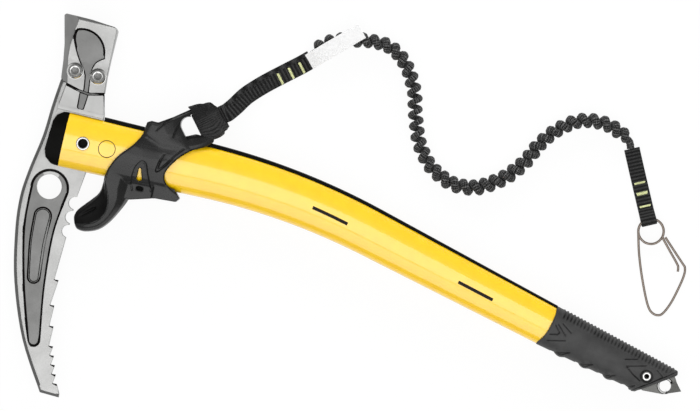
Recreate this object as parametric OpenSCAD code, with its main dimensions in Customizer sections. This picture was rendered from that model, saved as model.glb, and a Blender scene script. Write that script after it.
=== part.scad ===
// Ice climbing tool: forged head with hammer, bent oval shaft, sliding trigger,
// rubber grip with spike, and a curly elastic leash with a wire clip.
// Lies flat: X runs along the upper shaft, Y towards the hammer, Z up.
// The origin is the centre of the carabiner eye in the head.

/* [Shaft] */
// Distance from the carabiner eye to the shaft's axis, across the shaft
shaft_y = 34.7; // [33:0.1:37]
// Distance from the carabiner eye to the square end of the shaft
shaft_x = 2.8; // [1:0.1:5]
// Straight length between the head and the bend
shaft_straight = 100; // [98:1:115]
// Radius of the bend on the axis
bend_r = 490; // [400:5:650]
// Angle of the bend
bend_angle = 14.6; // [10:0.2:18]
// Length of the axis from the head to the grip
grip_s = 363; // [350:1:385]
// Width of the oval at the head
shaft_w_head = 39.3; // [37:0.1:40]
// Width of the oval at the grip
shaft_w_grip = 29.4; // [28:0.1:32]
// Thickness of the oval at the head
shaft_t_head = 22; // [20:0.1:22.6]
// Thickness of the oval at the grip
shaft_t_grip = 20; // [19:0.1:21.5]
// Wall of the tube
shaft_wall = 1.6; // [1:0.1:2.2]
// Height of the strip along the back, at the head
strip_h = 2.2; // [1.5:0.1:3]
// Height of the strip where it meets the grip
strip_h_grip = 1.1; // [0.9:0.1:3]
// Width of the strip along the back
strip_w = 9; // [6:0.5:12]

/* [Head] */
// How far the pick's tip lies below the carabiner eye
pick_reach = 142.3; // [140:0.1:150]
// Thickness of the blade
blade_t = 6; // [4.5:0.1:7]
// Radius of the carabiner eye
eye_r = 8.7; // [7:0.1:9.5]
// Width of the chamfer along the spine
spine_bevel = 4.6; // [3:0.1:5.5]
// Thickness left at the spine's edge
spine_edge = 2; // [1:0.1:3]
// Depth of the recessed panel
panel_depth = 1; // [0.4:0.1:1.4]
// Depth of the saw teeth
tooth = 3; // [2:0.1:3.4]
// Thickness of the shoulder below the hammer
shoulder_t = 11; // [8:0.1:12]
// Radius of the blind hole in the head rivet
rivet_hole_r = 3.1; // [2:0.1:3.4]
// Radius of the head rivet's flange
rivet_flange_r = 4.8; // [4.4:0.1:6]
// Wall of the rivets round their holes
rivet_wall = 0.6; // [0.4:0.1:0.8]

/* [Hammer] */
// Distance from the carabiner eye to the striking face
face_y = 120.8; // [119:0.1:126]
// Thickness of the hammer at the bolts
hammer_t = 13; // [12:0.1:15]
// Thickness of the hammer at the striking face
face_t = 27; // [22:0.5:28]
// Radius of the domed bolt heads
bolt_head_r = 5.9; // [5:0.1:6.4]
// Height of the domed bolt heads
bolt_head_h = 3.2; // [2.4:0.1:4]
// Radius of the bolts
bolt_r = 3; // [2.5:0.1:3.5]
// Depth of the fan-shaped recess
fan_depth = 1.4; // [0.5:0.1:1.6]

/* [Trigger] */
// Wall of the sleeve round the shaft
sleeve_wall = 2.6; // [2:0.1:2.8]
// Half thickness of the finger hook at its root
hook_t = 11; // [9:0.1:12]
// Half thickness of the leash ring, where the arm ends
ring_t = 5.4; // [5:0.1:6.5]
// Radius of the bar that the leash loops round
bar_r = 4; // [3.2:0.1:4.2]

/* [Grip] */
// Length of the grip along its back
grip_len = 98; // [97:1:110]
// Thickness of the grip
grip_t = 25; // [24.4:0.1:27]
// How far the rubber stands proud of the shaft
grip_proud = 0.8; // [0.5:0.1:1.5]
// Depth of the seat for the rubber in the shaft
grip_seat = 3; // [2.6:0.1:3.2]
// Pitch of the ribs along the back
rib_pitch = 2.7; // [2.4:0.1:4]
// Height of the ribs
rib_h = 0.9; // [0.4:0.1:1.2]
// Height of the finger knobs
knob_h = 1.3; // [0.6:0.1:1.8]

/* [Spike] */
// Thickness of the spike plate
spike_t = 5; // [4:0.1:6]
// Radius of the eye in the spike
spike_eye_r = 4.2; // [3:0.1:4.3]
// Radius of the hole in the spike rivet
spike_rivet_hole_r = 1.4; // [1:0.1:1.6]
// Radius of the spike rivet's flange
spike_rivet_flange_r = 3.2; // [2.6:0.1:3.6]

/* [Leash] */
// Width of the loop that is sewn round the ring's bar
loop_w = 19; // [15:0.5:19.4]
// Width of the webbing
strap_w = 13; // [10:0.5:14]
// Thickness of the webbing
strap_t = 1.8; // [1.2:0.1:2]
// Outer diameter of the curls
curl_od = 11; // [10:0.1:11.4]
// Diameter of the elastic cord that curls
elastic_d = 5.4; // [5:0.1:5.6]
// Number of curls
curls = 41; // [36:1:42]
// Width of the end tab
tab_w = 11; // [9:0.5:12]
// Thickness of the end tab
tab_t = 2.8; // [2:0.1:3]

/* [Clip] */
// Diameter of the clip's wire
wire_d = 1.7; // [1.3:0.1:1.8]
// Radius of the clip's coil, at the middle of the wire
coil_r = 8.9; // [8.4:0.1:9.4]
// Radius of the tab's eye round the coil
tab_eye_r = 2.6; // [2.5:0.1:3]

/* [Hidden] */
$fn = 64;

// Fit between fixed pieces, and running clearance of the trigger
fit = 0.05;
run_gap = 0.45;
// Small overlap for cuts, and a height that clears every piece
eps = 0.01;
tall = 60;
// Surface that the tool lies on, and how far above it the leash's end lies
floor_z = -14;
lie_gap = 0.1;
// Squareness of the oval section, its sides and the rings in the bend
oval_power = 2.4;
oval_sides = 28;
bend_rings = 10;

// Vector and curve helpers

function unit(v) = v / norm(v);
function flat(p) = [p.x, p.y];

// Point t of the way through span i of a smooth curve through p
function spline_at(p, i, t) =
    let (n = len(p) - 1, a = p[max(i - 1, 0)], b = p[i], c = p[min(i + 1, n)], d = p[min(i + 2, n)])
    (2 * b + (c - a) * t + (2 * a - 5 * b + 4 * c - d) * t * t + (3 * b - a - 3 * c + d) * t * t * t) / 2;
function spline(p, steps) =
    [for (i = [0:len(p) - 2], k = [0:steps - 1]) spline_at(p, i, k / steps), p[len(p) - 1]];
function tangent(p, i) = unit(p[min(i + 1, len(p) - 1)] - p[max(i - 1, 0)]);
function left_of(v) = [-v.y, v.x];
function reversed(p) = [for (i = [len(p) - 1:-1:0]) p[i]];
function arc(c, r, a0, a1, steps = 16) =
    [for (k = [0:steps]) let (a = a0 + (a1 - a0) * k / steps) [c.x + r * cos(a), c.y + r * sin(a)]];

// Outline of a band that follows [x, y, half width] stations, with round ends
function band_outline(stations, steps = 8) =
    let (p = spline(stations, steps), m = len(p) - 1, c = [for (q = p) flat(q)],
        side = [for (i = [0:m]) left_of(tangent(c, i)) * p[i].z],
        a0 = atan2(side[0].y, side[0].x), a1 = atan2(side[m].y, side[m].x))
    concat([for (i = [0:m]) c[i] + side[i]],
        arc(c[m], p[m].z, a1 - 10, a1 - 170, 10),
        [for (i = [m:-1:0]) c[i] - side[i]],
        arc(c[0], p[0].z, a0 + 170, a0 + 10, 16));

// Skin between rings of n points that turn the same way round the path
function skin(n, m, first = 0) =
    [for (k = [0:m - 2], i = [0:n - 1])
        let (a = first + k * n + i, b = first + k * n + (i + 1) % n) each [[a, a + n, b + n], [a, b + n, b]]];
function turned(faces) = [for (f = faces) [f[2], f[1], f[0]]];

module loft(rings) {
    n = len(rings[0]);
    m = len(rings);
    caps = [[for (i = [0:n - 1]) i], [for (i = [n - 1:-1:0]) (m - 1) * n + i]];
    polyhedron([for (r = rings) each r], concat(caps, skin(n, m)), convexity = 8);
}

// Hollow loft: as many inner rings as outer ones, with a rim at each end
module tube_loft(outer, inner) {
    n = len(outer[0]);
    m = len(outer);
    in0 = n * m;
    last = (m - 1) * n;
    rim0 = [for (i = [0:n - 1]) let (j = (i + 1) % n) each [[i, j, in0 + j], [i, in0 + j, in0 + i]]];
    rim1 = [for (f = rim0) [for (v = [f[2], f[1], f[0]]) v + last]];
    polyhedron(concat([for (r = outer) each r], [for (r = inner) each r]),
        concat(skin(n, m), turned(skin(n, m, in0)), rim0, rim1), convexity = 8);
}

// Rings of a round wire and of a flat ribbon round point i of a path
function side_of(t) = unit(cross([0, 0, 1], t));
function wire_ring(p, i, r, sides) =
    let (t = tangent(p, i), u = side_of(t), v = cross(t, u))
    [for (k = [0:sides - 1]) p[i] + r * (cos(360 * k / sides) * u + sin(360 * k / sides) * v)];
function ribbon_ring(p, i, w, h) =
    let (t = tangent(p, i), u = side_of(t) * w / 2, v = cross(t, side_of(t)) * h / 2)
    [p[i] + u - v, p[i] + u + v, p[i] - u + v, p[i] - u - v];
module wire(p, d, sides = 8) {
    loft([for (i = [0:len(p) - 1]) wire_ring(p, i, d / 2, sides)]);
}
module ribbon(p, w, h) {
    loft([for (i = [0:len(p) - 1]) ribbon_ring(p, i, w, h)]);
}

// The shaft's axis, s from its square end, and its oval section

bend_len = bend_r * bend_angle * PI / 180;
function turn_at(s) = s < shaft_straight ? 0 : min((s - shaft_straight) / bend_r * 180 / PI, bend_angle);
function axis_at(s) =
    let (a = turn_at(s), run = max(0, s - shaft_straight - bend_len))
    [shaft_x + min(s, shaft_straight) + bend_r * sin(a) + run * cos(a),
        shaft_y - bend_r * (1 - cos(a)) - run * sin(a)];
function width_at(s) = shaft_w_head + (shaft_w_grip - shaft_w_head) * s / grip_s;
function thick_at(s) = shaft_t_head + (shaft_t_grip - shaft_t_head) * s / grip_s;
function power(c) = sign(c) * pow(abs(c), 2 / oval_power);
function oval(w, t, a) = [w / 2 * power(cos(a)), t / 2 * power(sin(a))];
function on_shaft(s, across, z) =
    let (p = axis_at(s), a = turn_at(s))
    [p.x + across * sin(a), p.y + across * cos(a), z];
function shaft_ring(s, grow = 0, sides = oval_sides) =
    [for (k = [0:sides - 1])
        let (q = oval(width_at(s) + 2 * grow, thick_at(s) + 2 * grow, 360 * k / sides)) on_shaft(s, q.x, q.y)];

// Axis stations of the tube, and where its seat for the rubber begins
seat_s = grip_s + 7;
bend_stations = [for (k = [0:bend_rings]) shaft_straight + bend_len * k / bend_rings];
shaft_end_s = grip_s + grip_len;
full_stations = concat([0, shaft_straight / 2], bend_stations, [(shaft_straight + bend_len + seat_s) / 2]);

// Frame of the straight lower shaft: x along it from the grip's edge, y towards the back
module at_grip() {
    translate(axis_at(grip_s))
        rotate(-bend_angle)
            children();
}
// Slanted lower end of the grip: top and bottom points, and the cut set back from it
slant_top = [grip_len - 0.8, 11.2];
slant_bottom = [grip_len - 19.2, -10.6];
slant_dir = unit(slant_top - slant_bottom);
shaft_setback = 3.6;
module slant_keep(setback) {
    back = [-slant_dir.y, slant_dir.x] * setback;
    far_top = slant_top + slant_dir * 40 + back;
    far_bottom = slant_bottom - slant_dir * 40 + back;
    linear_extrude(tall, center = true)
        polygon([far_top, [-tall, far_top.y], [-tall, far_bottom.y], far_bottom]);
}

module shaft_tube() {
    outer = concat([for (s = full_stations) shaft_ring(s)],
        [shaft_ring(seat_s), shaft_ring(seat_s, -grip_seat), shaft_ring(shaft_end_s, -grip_seat)]);
    inner_s = seat_s - shaft_wall;
    inner = concat([for (s = full_stations) shaft_ring(s, -shaft_wall)],
        [shaft_ring(inner_s, -shaft_wall), shaft_ring(inner_s, -shaft_wall - grip_seat),
            shaft_ring(shaft_end_s, -shaft_wall - grip_seat)]);
    tube_loft(outer, inner);
}

// Inside of the tube as a solid, smaller by a fit, between two stations
module tube_core(s0, s1, shrink) {
    loft([for (s = [s0, s1]) shaft_ring(s, -shrink)]);
}

// Head: spine, teeth, eye and panel

// Spine from the hammer down to the pick's tip
spine = [[-9, 75], [-11, 56], [-12.5, 34], [-16.8, 8], [-18.5, -12], [-16.3, -36], [-9, -70],
    [5.5, -108], [25.8, 0.6 - pick_reach]];
spine_steps = 5;
spine_curve = spline(spine, spine_steps);
pick_front = [39.6, -pick_reach];
// Notches of the three coarse teeth, then a row of fine ones
coarse_notches = [[18, -62.5], [19.1, -80.5], [21.8, -94.9]];
fine_first = [24.7, -108.6];
fine_step = [2.1, -6.25];
// Bare run left before the tip
tip_len = 8.6;
fine_teeth = 1 + floor((pick_reach + fine_first.y - tip_len) / -fine_step.y);
notches = concat(coarse_notches, [for (k = [0:fine_teeth - 1]) fine_first + fine_step * k]);
// Back edge of the blade, from the shoulder down to the scallops
shoulder_back = [23, 71];
back_edge = [[26.6, 56.2], [22.8, 15.1], [20.4, -2.7], [19.4, -33]];
scallops = 3;
scallop_r = 4.4;
scallop_pitch = 10.1;
scallop_first = [20.2, -7.2];
// Tail that the hammer's fork takes, and the two bolts through it
bolt_pair = [[-0.3, 83], [16.1, 82.6]];
tail_top = 93;
tail_left = -6.6;
tail_right = 21.2;
// Lower edge of the hammer, a shallow V
hammer_v = [[-8.6, 74.4], [6, 70.6], [12.3, 69.8], [23.2, 72.2]];
v_gap = 1.4;
// Head rivet on the shaft's axis
head_rivet = [16.6, shaft_y];
rivet_r = rivet_hole_r + rivet_wall;
rivet_flange_t = 0.7;

function blade_outline() =
    concat([[tail_left, tail_top], [tail_left, spine[0].y + 1]], spine_curve,
        [pick_front, pick_front + [-0.2, 2.5]],
        [for (k = [len(notches) - 1:-1:0]) each [notches[k] + [tooth, 0.2], notches[k]]],
        [for (k = [len(back_edge) - 1:-1:0]) back_edge[k]], [shoulder_back, [tail_right, tail_top]]);

// Panel round the eye and down the pick, and the raised frame inside it: [x, y, half width]
panel = [[0.6, -1, 13.4], [-0.6, -30, 11], [4.8, -69, 7.7], [13.4, -107, 4.6]];
frame_line = [[0.2, -21, 6.3], [0.6, -40, 5.6], [3.6, -64, 4.6]];
frame_rim = 1.5;
frame_h = 0.5;
// How far the panel's walls slope inwards on their way down
panel_draft = 1.3;
function narrowed(stations, by) = [for (q = stations) q - [0, 0, by]];
function band_ring(stations, z) = [for (q = reversed(band_outline(stations))) [q.x, q.y, z]];

// Prism along the spine and the pick's end that cuts the chamfer on the upper face
module spine_cut() {
    top = blade_t / 2;
    drop = (blade_t - spine_edge) / 2;
    out = 2;
    path = concat([spine_curve[0] + [0, 6]], spine_curve, [pick_front + [4, -0.2]]);
    rings = [for (i = [0:len(path) - 1])
        let (p = path[i], n = left_of(tangent(path, i)), inner = p + n * spine_bevel, outer = p - n * out)
        [[inner.x, inner.y, top + eps], [outer.x, outer.y, top + 4],
            [outer.x, outer.y, top - drop * (spine_bevel + out) / spine_bevel]]];
    loft(rings);
}

module blade_plate() {
    linear_extrude(blade_t, center = true)
        polygon(blade_outline());
}

// Thicker shoulder between the shaft and the hammer
module shoulder() {
    low = back_edge[0].y + 1.2;
    linear_extrude(shoulder_t, center = true)
        polygon([[spine[1].x + spine_bevel, low], [back_edge[0].x - 0.2, low],
            hammer_v[3] + [-0.3, -v_gap], hammer_v[2] + [0, -v_gap], hammer_v[1] + [0, -v_gap],
            [spine[0].x + spine_bevel, hammer_v[0].y - v_gap - 1]]);
}

// Short groove in the shoulder that carries on the stem of the hammer's recess
groove_end = [9.1, 59.3];
groove_w = 4.2;
groove_mouth = [9.3, 72];
groove_mouth_w = 6.2;
module shoulder_groove() {
    translate([0, 0, shoulder_t / 2 - fan_depth])
        linear_extrude(tall)
            hull() {
                translate(groove_end)
                    circle(d = groove_w, $fn = 32);
                translate(groove_mouth)
                    square([groove_mouth_w, 1], center = true);
            }
}

module panel_recess() {
    top = blade_t / 2;
    low = top - panel_depth;
    slope = panel_draft / panel_depth;
    difference() {
        loft([band_ring(narrowed(panel, panel_draft), low), band_ring(narrowed(panel, -slope), top + 1)]);
        difference() {
            loft([band_ring(narrowed(frame_line, -slope), low - 1),
                band_ring(narrowed(frame_line, slope * frame_h), low + frame_h)]);
            translate([0, 0, low])
                linear_extrude(panel_depth)
                    polygon(band_outline(narrowed(frame_line, frame_rim)));
        }
    }
}

module head_blade() {
    color("silver")
        difference() {
            union() {
                blade_plate();
                shoulder();
            }
            for (side = [0, 1])
                mirror([0, 0, side]) {
                    spine_cut();
                    panel_recess();
                    shoulder_groove();
                }
            for (k = [0:scallops - 1])
                translate(scallop_first + [-0.15, -scallop_pitch] * k)
                    cylinder(r = scallop_r, h = tall, center = true);
            cylinder(r = eye_r, h = tall, center = true);
            translate(head_rivet)
                cylinder(r = rivet_r + fit, h = tall, center = true);
            for (p = bolt_pair)
                translate(p)
                    cylinder(r = bolt_r + fit, h = tall, center = true);
        }
}

// Hammer: plan outline and the thickness along Y

hammer_left = [[-9.2, 77], [-10.2, 88], [-12, 100], [-16.6, face_y - 1.3]];
hammer_top = [[-15.4, face_y], [4, face_y - 0.4], [20.6, face_y - 2]];
hammer_right = [[22.2, face_y - 3.8], [22.2, 97], [22.4, 84]];
flare_y = 90;
flare = [[flare_y, hammer_t / 2], [100, hammer_t / 2 + 1.5], [face_y - 9.8, face_t / 2 - 2.2],
    [face_y - 2.4, face_t / 2]];
face_chamfer = 1.5;

// Half thickness along Y as a profile, smaller by inset
function flare_profile(inset) =
    concat([[60, hammer_t / 2 - inset]],
        [for (q = spline(flare, 5)) [q.x, q.y - inset]],
        [[face_y, face_t / 2 - face_chamfer - inset]]);
module flare_solid(inset) {
    p = flare_profile(inset);
    m = len(p) - 1;
    rotate([90, 0, 90])
        linear_extrude(2 * tall, center = true)
            polygon(concat(p, [for (i = [m:-1:0]) [p[i].x, -p[i].y]]));
}

// Fan-shaped recess with a stem
fan_c = [1.2, 96.8];
fan_r = 15.9;
fan_left = [[9.4, 66], [8.2, 78], [6.6, 83.5], [-0.1, 93.4], [-5, 103.5], [-5.6, 109]];
fan_right = [[17.4, 96], [14.9, 94.3], [11.8, 91], [10.5, 84], [12.1, 66]];
module fan_plan() {
    polygon(concat(spline(fan_left, 5), arc(fan_c, fan_r, 112, 3, 12), spline(fan_right, 5)));
}

facet_edge = unit(hammer_left[3] - hammer_left[1]);
facet_angle = atan2(facet_edge.y, facet_edge.x) - 90;
facet_tilt = 43;
facet_edge_z = 3.4;
// Half space outside the broad facet on the spine side
module facet_cut() {
    translate([hammer_left[1].x, hammer_left[1].y, facet_edge_z])
        rotate([0, 0, facet_angle])
            rotate([0, -facet_tilt, 0])
                translate([-tall / 2, -tall, 0])
                    cube([2 * tall, 2 * tall, tall]);
}

// Space that the blade fills, larger by the fit
module blade_space() {
    linear_extrude(blade_t + 2 * fit, center = true)
        offset(delta = fit)
            polygon(blade_outline());
}

module hammer() {
    color("lightgray")
        difference() {
            intersection() {
                linear_extrude(face_t, center = true)
                    polygon(concat(hammer_v, reversed(hammer_right), reversed(hammer_top),
                        reversed(hammer_left)));
                flare_solid(0);
            }
            for (side = [0, 1])
                mirror([0, 0, side]) {
                    facet_cut();
                    difference() {
                        linear_extrude(tall)
                            fan_plan();
                        flare_solid(fan_depth);
                    }
                }
            blade_space();
            for (p = bolt_pair)
                translate(p)
                    cylinder(r = bolt_r + fit, h = tall, center = true);
        }
}

// Domed head with its flat side on z = 0
module dome(r, h) {
    crown = (r * r + h * h) / (2 * h);
    rotate_extrude()
        polygon(concat([[0, 0], [r, 0]],
            [for (k = [1:8])
                let (a = asin(r / crown) * (1 - k / 8))
                [crown * sin(a), crown * cos(a) - crown + h]]));
}

socket_r = 2.6;
socket_depth = 2;
nut_grip = 2.2;
module hammer_bolts() {
    color("whitesmoke")
        for (p = bolt_pair)
            translate(p)
                difference() {
                    union() {
                        translate([0, 0, hammer_t / 2])
                            dome(bolt_head_r, bolt_head_h);
                        translate([0, 0, -hammer_t / 2 - nut_grip])
                            cylinder(r = bolt_r, h = hammer_t + nut_grip + 1);
                    }
                    translate([0, 0, hammer_t / 2 + bolt_head_h - socket_depth])
                        cylinder(r = socket_r, h = tall, $fn = 6);
                }
}

module hammer_nuts() {
    color("whitesmoke")
        for (p = bolt_pair)
            translate([p.x, p.y, -hammer_t / 2])
                mirror([0, 0, 1])
                    difference() {
                        dome(bolt_head_r, bolt_head_h);
                        translate([0, 0, -eps])
                            cylinder(r = bolt_r + fit, h = nut_grip + fit);
                    }
}

module shaft() {
    color("gold")
        difference() {
            shaft_tube();
            blade_space();
            translate(head_rivet)
                cylinder(r = rivet_r + fit, h = tall, center = true);
            at_grip() {
                translate(spike_rivet)
                    cylinder(r = spike_rivet_r + fit, h = tall, center = true);
                difference() {
                    translate([0, -tall / 2, -tall / 2])
                        cube([2 * tall, tall, tall]);
                    slant_keep(shaft_setback);
                }
            }
        }
}

// Strip on the back, from the blade to the grip: two prisms that make its crown, hollowed by the oval
strip_start = back_edge[0].x + 0.6 - shaft_x;
strip_end_gap = 0.2;
strip_stations = concat([strip_start, (strip_start + shaft_straight) / 2], bend_stations,
    [(shaft_straight + bend_len + grip_s) / 2, grip_s - strip_end_gap]);
strip_crown = 0.7;
function strip_h_at(s) = lookup(s, [[shaft_straight, strip_h], [grip_s, strip_h_grip]]);
module strip_prism(w, share) {
    edge = [for (s = strip_stations) flat(on_shaft(s, width_at(s) / 2 + share * strip_h_at(s), 0))];
    root = [for (s = strip_stations) flat(on_shaft(s, width_at(s) / 4, 0))];
    linear_extrude(w, center = true)
        polygon(concat(edge, reversed(root)));
}
module back_strip() {
    color("dimgray")
        difference() {
            union() {
                strip_prism(strip_w, strip_crown);
                strip_prism(strip_crown * strip_w, 1);
            }
            loft([for (s = concat(full_stations, [seat_s])) shaft_ring(s, fit)]);
        }
}

// End plug: a cap past the shaft's end and a tongue inside the tube, one half on each side of the blade
plug_left = [[-1.5, 53.4], [-5.6, 50.4], [-7.4, 46], [-8.6, 25], [-7, 20], [-2.6, 16.2]];
plug_tongue = 23;
module end_plug_half() {
    w = shaft_w_head / 2;
    corner_top = [shaft_x - fit, shaft_y + w];
    corner_bottom = [shaft_x - fit, shaft_y - w];
    difference() {
        union() {
            intersection() {
                linear_extrude(tall)
                    polygon(concat([corner_top], plug_left, [corner_bottom]));
                loft([for (x = [-tall, shaft_x]) [for (q = shaft_ring(0)) [x, q.y, q.z]]]);
            }
            tube_core(-0.5, plug_tongue, shaft_wall + fit);
        }
        translate([-tall, -tall, -tall])
            cube([3 * tall, 3 * tall, tall + blade_t / 2 + fit]);
        translate(head_rivet)
            cylinder(r = rivet_r + fit, h = tall, center = true);
    }
}
module end_plug_near() {
    color("#1c1c1c")
        end_plug_half();
}
module end_plug_far() {
    color("#1c1c1c")
        mirror([0, 0, 1])
            end_plug_half();
}

// Semi-tubular rivet through a thickness: a blind hole and a rolled flange on each side
rivet_hole_depth = 6;
module tubular_rivet(hole_r, barrel_r, flange_r, grip, flange_t) {
    half = grip / 2;
    deep = half - rivet_hole_depth;
    roll = (flange_r - hole_r) / 3;
    rotate_extrude()
        polygon([[0, -deep], [hole_r, -deep], [hole_r, -half], [hole_r + roll, -half - flange_t],
            [flange_r - roll, -half - flange_t], [flange_r, -half], [barrel_r, -half], [barrel_r, half],
            [flange_r, half], [flange_r - roll, half + flange_t], [hole_r + roll, half + flange_t],
            [hole_r, half], [hole_r, deep], [0, deep]]);
}
module head_rivet() {
    color("white")
        translate(head_rivet)
            tubular_rivet(rivet_hole_r, rivet_r, rivet_flange_r,
                thick_at(head_rivet.x - rivet_flange_r - shaft_x), rivet_flange_t);
}

// Trigger: a sleeve cut by a waisted outline, a finger hook and an arm with the leash ring

function straight_ring(s, grow) =
    [for (k = [0:oval_sides - 1])
        let (q = oval(width_at(s) + 2 * grow, thick_at(s) + 2 * grow, 360 * k / oval_sides))
        [shaft_x + s, shaft_y + q.x, q.y]];
sleeve_s = [18, 120];
// Bar of the leash ring: its middle and the way that the leash pulls
bar_c = [95.6, 67.2];
pull = unit([0.772, 0.636]);
bar_half = 12;
module at_bar() {
    translate(bar_c)
        rotate(atan2(pull.y, pull.x))
            children();
}
// Edges of the side cheeks, seen from above
cheek_left = [[53, 59], [56.4, 53], [51.7, 42.6], [42.6, 31.9], [37.3, 20.2], [36.3, 10], [40, 4]];
cheek_right = [[91, 10], [88, 15.6], [79.9, 20], [77.2, 26.5], [79.6, 33], [85.5, 41.2], [94, 48.8], [100, 54]];
arm_edge = [[57, 59.4], [60, 61], [64.6, 60.9], [74, 67], [82.8, 73.9], [88.6, 78.2]];
ring_end = [[106, 61.5], [104.6, 57.6], [101.4, 55.6], [94, 49], [88, 46]];
// Web and foot under the sleeve, their half thicknesses, and a slot in the web
pad_web = [[46, 18], [52, 4.4], [57, 3.8], [72, 8.1], [72, 18]];
pad_web_t = 6.4;
foot = [[71.6, 18], [71.6, 8], [73.8, 8.6], [88.6, 9.4], [91, 12.4], [86, 18]];
foot_t = 9.6;
web_slot = [62, 13];
web_slot_size = [4.6, 2.4];
// Hook stations: where the finger's side, the ridge and the outer side run, and half the thickness
hook = [[[37.4, 24], [39, 24], [57.4, 24], hook_t + 1],
    [[36.2, 12.5], [37.6, 12], [57, 9], hook_t + 0.6],
    [[35, 4], [41.2, 3.5], [55.6, 2], hook_t],
    [[30.4, -2.2], [43, -4.5], [52.2, -5.4], hook_t - 0.6],
    [[25.6, -7.6], [41.4, -11.6], [47, -14.6], hook_t - 1.6],
    [[22.6, -11.6], [36.6, -17], [40.4, -21.6], hook_t - 3],
    [[21.4, -15.2], [29.6, -19.8], [31.6, -25], hook_t - 4.6],
    [[21.5, -17.4], [24.4, -20.3], [25.6, -24.6], hook_t - 6.6],
    [[22, -19], [22.6, -20.4], [23.2, -21.8], hook_t - 8.8]];
hook_cols = 9;
hook_steps = 3;
// How deep the finger's side is dished, as a share of the thickness
hook_dish = 0.3;
// Upper half of a hook section: a round outer side up to the ridge, then the dished side down to the finger
function hook_half(q) =
    concat(
        [for (k = [0:3]) let (a = 30 * k, p = q[1] + (q[2] - q[1]) * cos(a)) [p.x, p.y, q[3] * sin(a)]],
        [for (k = [1:hook_cols - 4])
            let (b = k / (hook_cols - 4), p = q[1] + (q[0] - q[1]) * b)
            [p.x, p.y, q[3] * sqrt(1 - b * b) * (1 - hook_dish * sin(180 * b))]]);
function hook_ring(q) =
    let (half = hook_half(q))
    concat(half, [for (k = [hook_cols - 2:-1:1]) [half[k].x, half[k].y, -half[k].z]]);
module hook_horn() {
    loft([for (q = spline(hook, hook_steps)) hook_ring(q)]);
}
// Slot in the finger's side of the hook, near its end
rest_slot = [[25.6, -15], [34.6, -7.4]];
rest_slot_w = 2;
rest_slot_z = 3.4;
module rest_slot_cut() {
    translate([0, 0, rest_slot_z])
        linear_extrude(tall)
            hull()
                for (p = rest_slot)
                    translate(p)
                        circle(d = rest_slot_w, $fn = 32);
}

arm_round = 1.6;
// Half thickness of the arm along the leash's pull, from the sleeve to the bar
arm_root_t = 13.6;
arm_taper = [[-26, arm_root_t], [-18, 12], [-10, 8.4], [-4, ring_t + 0.4], [8, ring_t]];
module arm_wedge(inset) {
    p = concat([[-tall, arm_root_t - inset]], [for (q = spline(arm_taper, 4)) q - [0, inset]]);
    at_bar()
        rotate([90, 0, 0])
            linear_extrude(2 * tall, center = true)
                polygon(concat(p, [for (q = reversed(p)) [q.x, -q.y]]));
}
module arm_plan() {
    polygon(concat(arm_edge, ring_end, [[70, 44], [56, 50]]));
}
// Hole of the leash ring, square along the bar where the loop passes
hole_r = 5.7;
hole_half = 4;
loop_play = 0.3;
module ring_hole_plan() {
    at_bar()
        hull()
            for (y = [-hole_half, hole_half])
                translate([-bar_r - hole_r, y])
                    circle(r = hole_r, $fn = 32);
}
// Creases on the arm's face: along its upper edge, and up from the sleeve's V to the ring
arm_creases = [[[64.6, 55.2, 0.4], [69.6, 62.1, 0.5], [75, 67.5, 0.5], [80.7, 71.3, 0.4]],
    [[77.1, 53.1, 0.4], [78.2, 59.1, 0.5], [80.4, 65.4, 0.4]]];
crease_depth = 0.6;
module arm() {
    difference() {
        union() {
            intersection() {
                linear_extrude(tall, center = true)
                    arm_plan();
                arm_wedge(arm_round);
            }
            intersection() {
                linear_extrude(tall, center = true)
                    offset(delta = -arm_round)
                        arm_plan();
                arm_wedge(0);
            }
        }
        difference() {
            linear_extrude(tall, center = true)
                for (line = arm_creases)
                    polygon(band_outline(line, 4));
            arm_wedge(crease_depth);
        }
    }
}

// Space of the shaft and its strip inside the sleeve
module sleeve_bore() {
    loft([for (s = sleeve_s) straight_ring(s, run_gap)]);
    top = [for (s = sleeve_s) [shaft_x + s, shaft_y + width_at(s) / 2 + strip_h + run_gap]];
    linear_extrude(strip_w + 2 * run_gap, center = true)
        polygon([top[0], top[1], [top[1].x, shaft_y], [top[0].x, shaft_y]]);
}

// Recesses in the cheeks' outer skin: a web round the tear-shaped slot, and a V where the arm begins
web = [[57, 11], [55.6, 15.2], [55.4, 21.7], [56.3, 26.9], [58.6, 31.1], [60.5, 32], [63, 30.1], [65.2, 24],
    [67.9, 18], [70, 13]];
v_line = [[73.8, 40.4, 0.4], [71.9, 34.6, 0.6], [71.1, 27.4, 0.8], [76.3, 33.1, 0.6], [81.1, 40.8, 0.6],
    [86.3, 47, 0.5]];
recess_depth = 0.9;
module skin_cut() {
    grow = run_gap + sleeve_wall;
    difference() {
        linear_extrude(tall, center = true) {
            polygon(web);
            polygon(band_outline([for (k = [0:2]) v_line[k]], 4));
            polygon(band_outline([for (k = [2:5]) v_line[k]], 4));
        }
        loft([for (s = sleeve_s) straight_ring(s, grow - recess_depth)]);
    }
}

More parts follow.
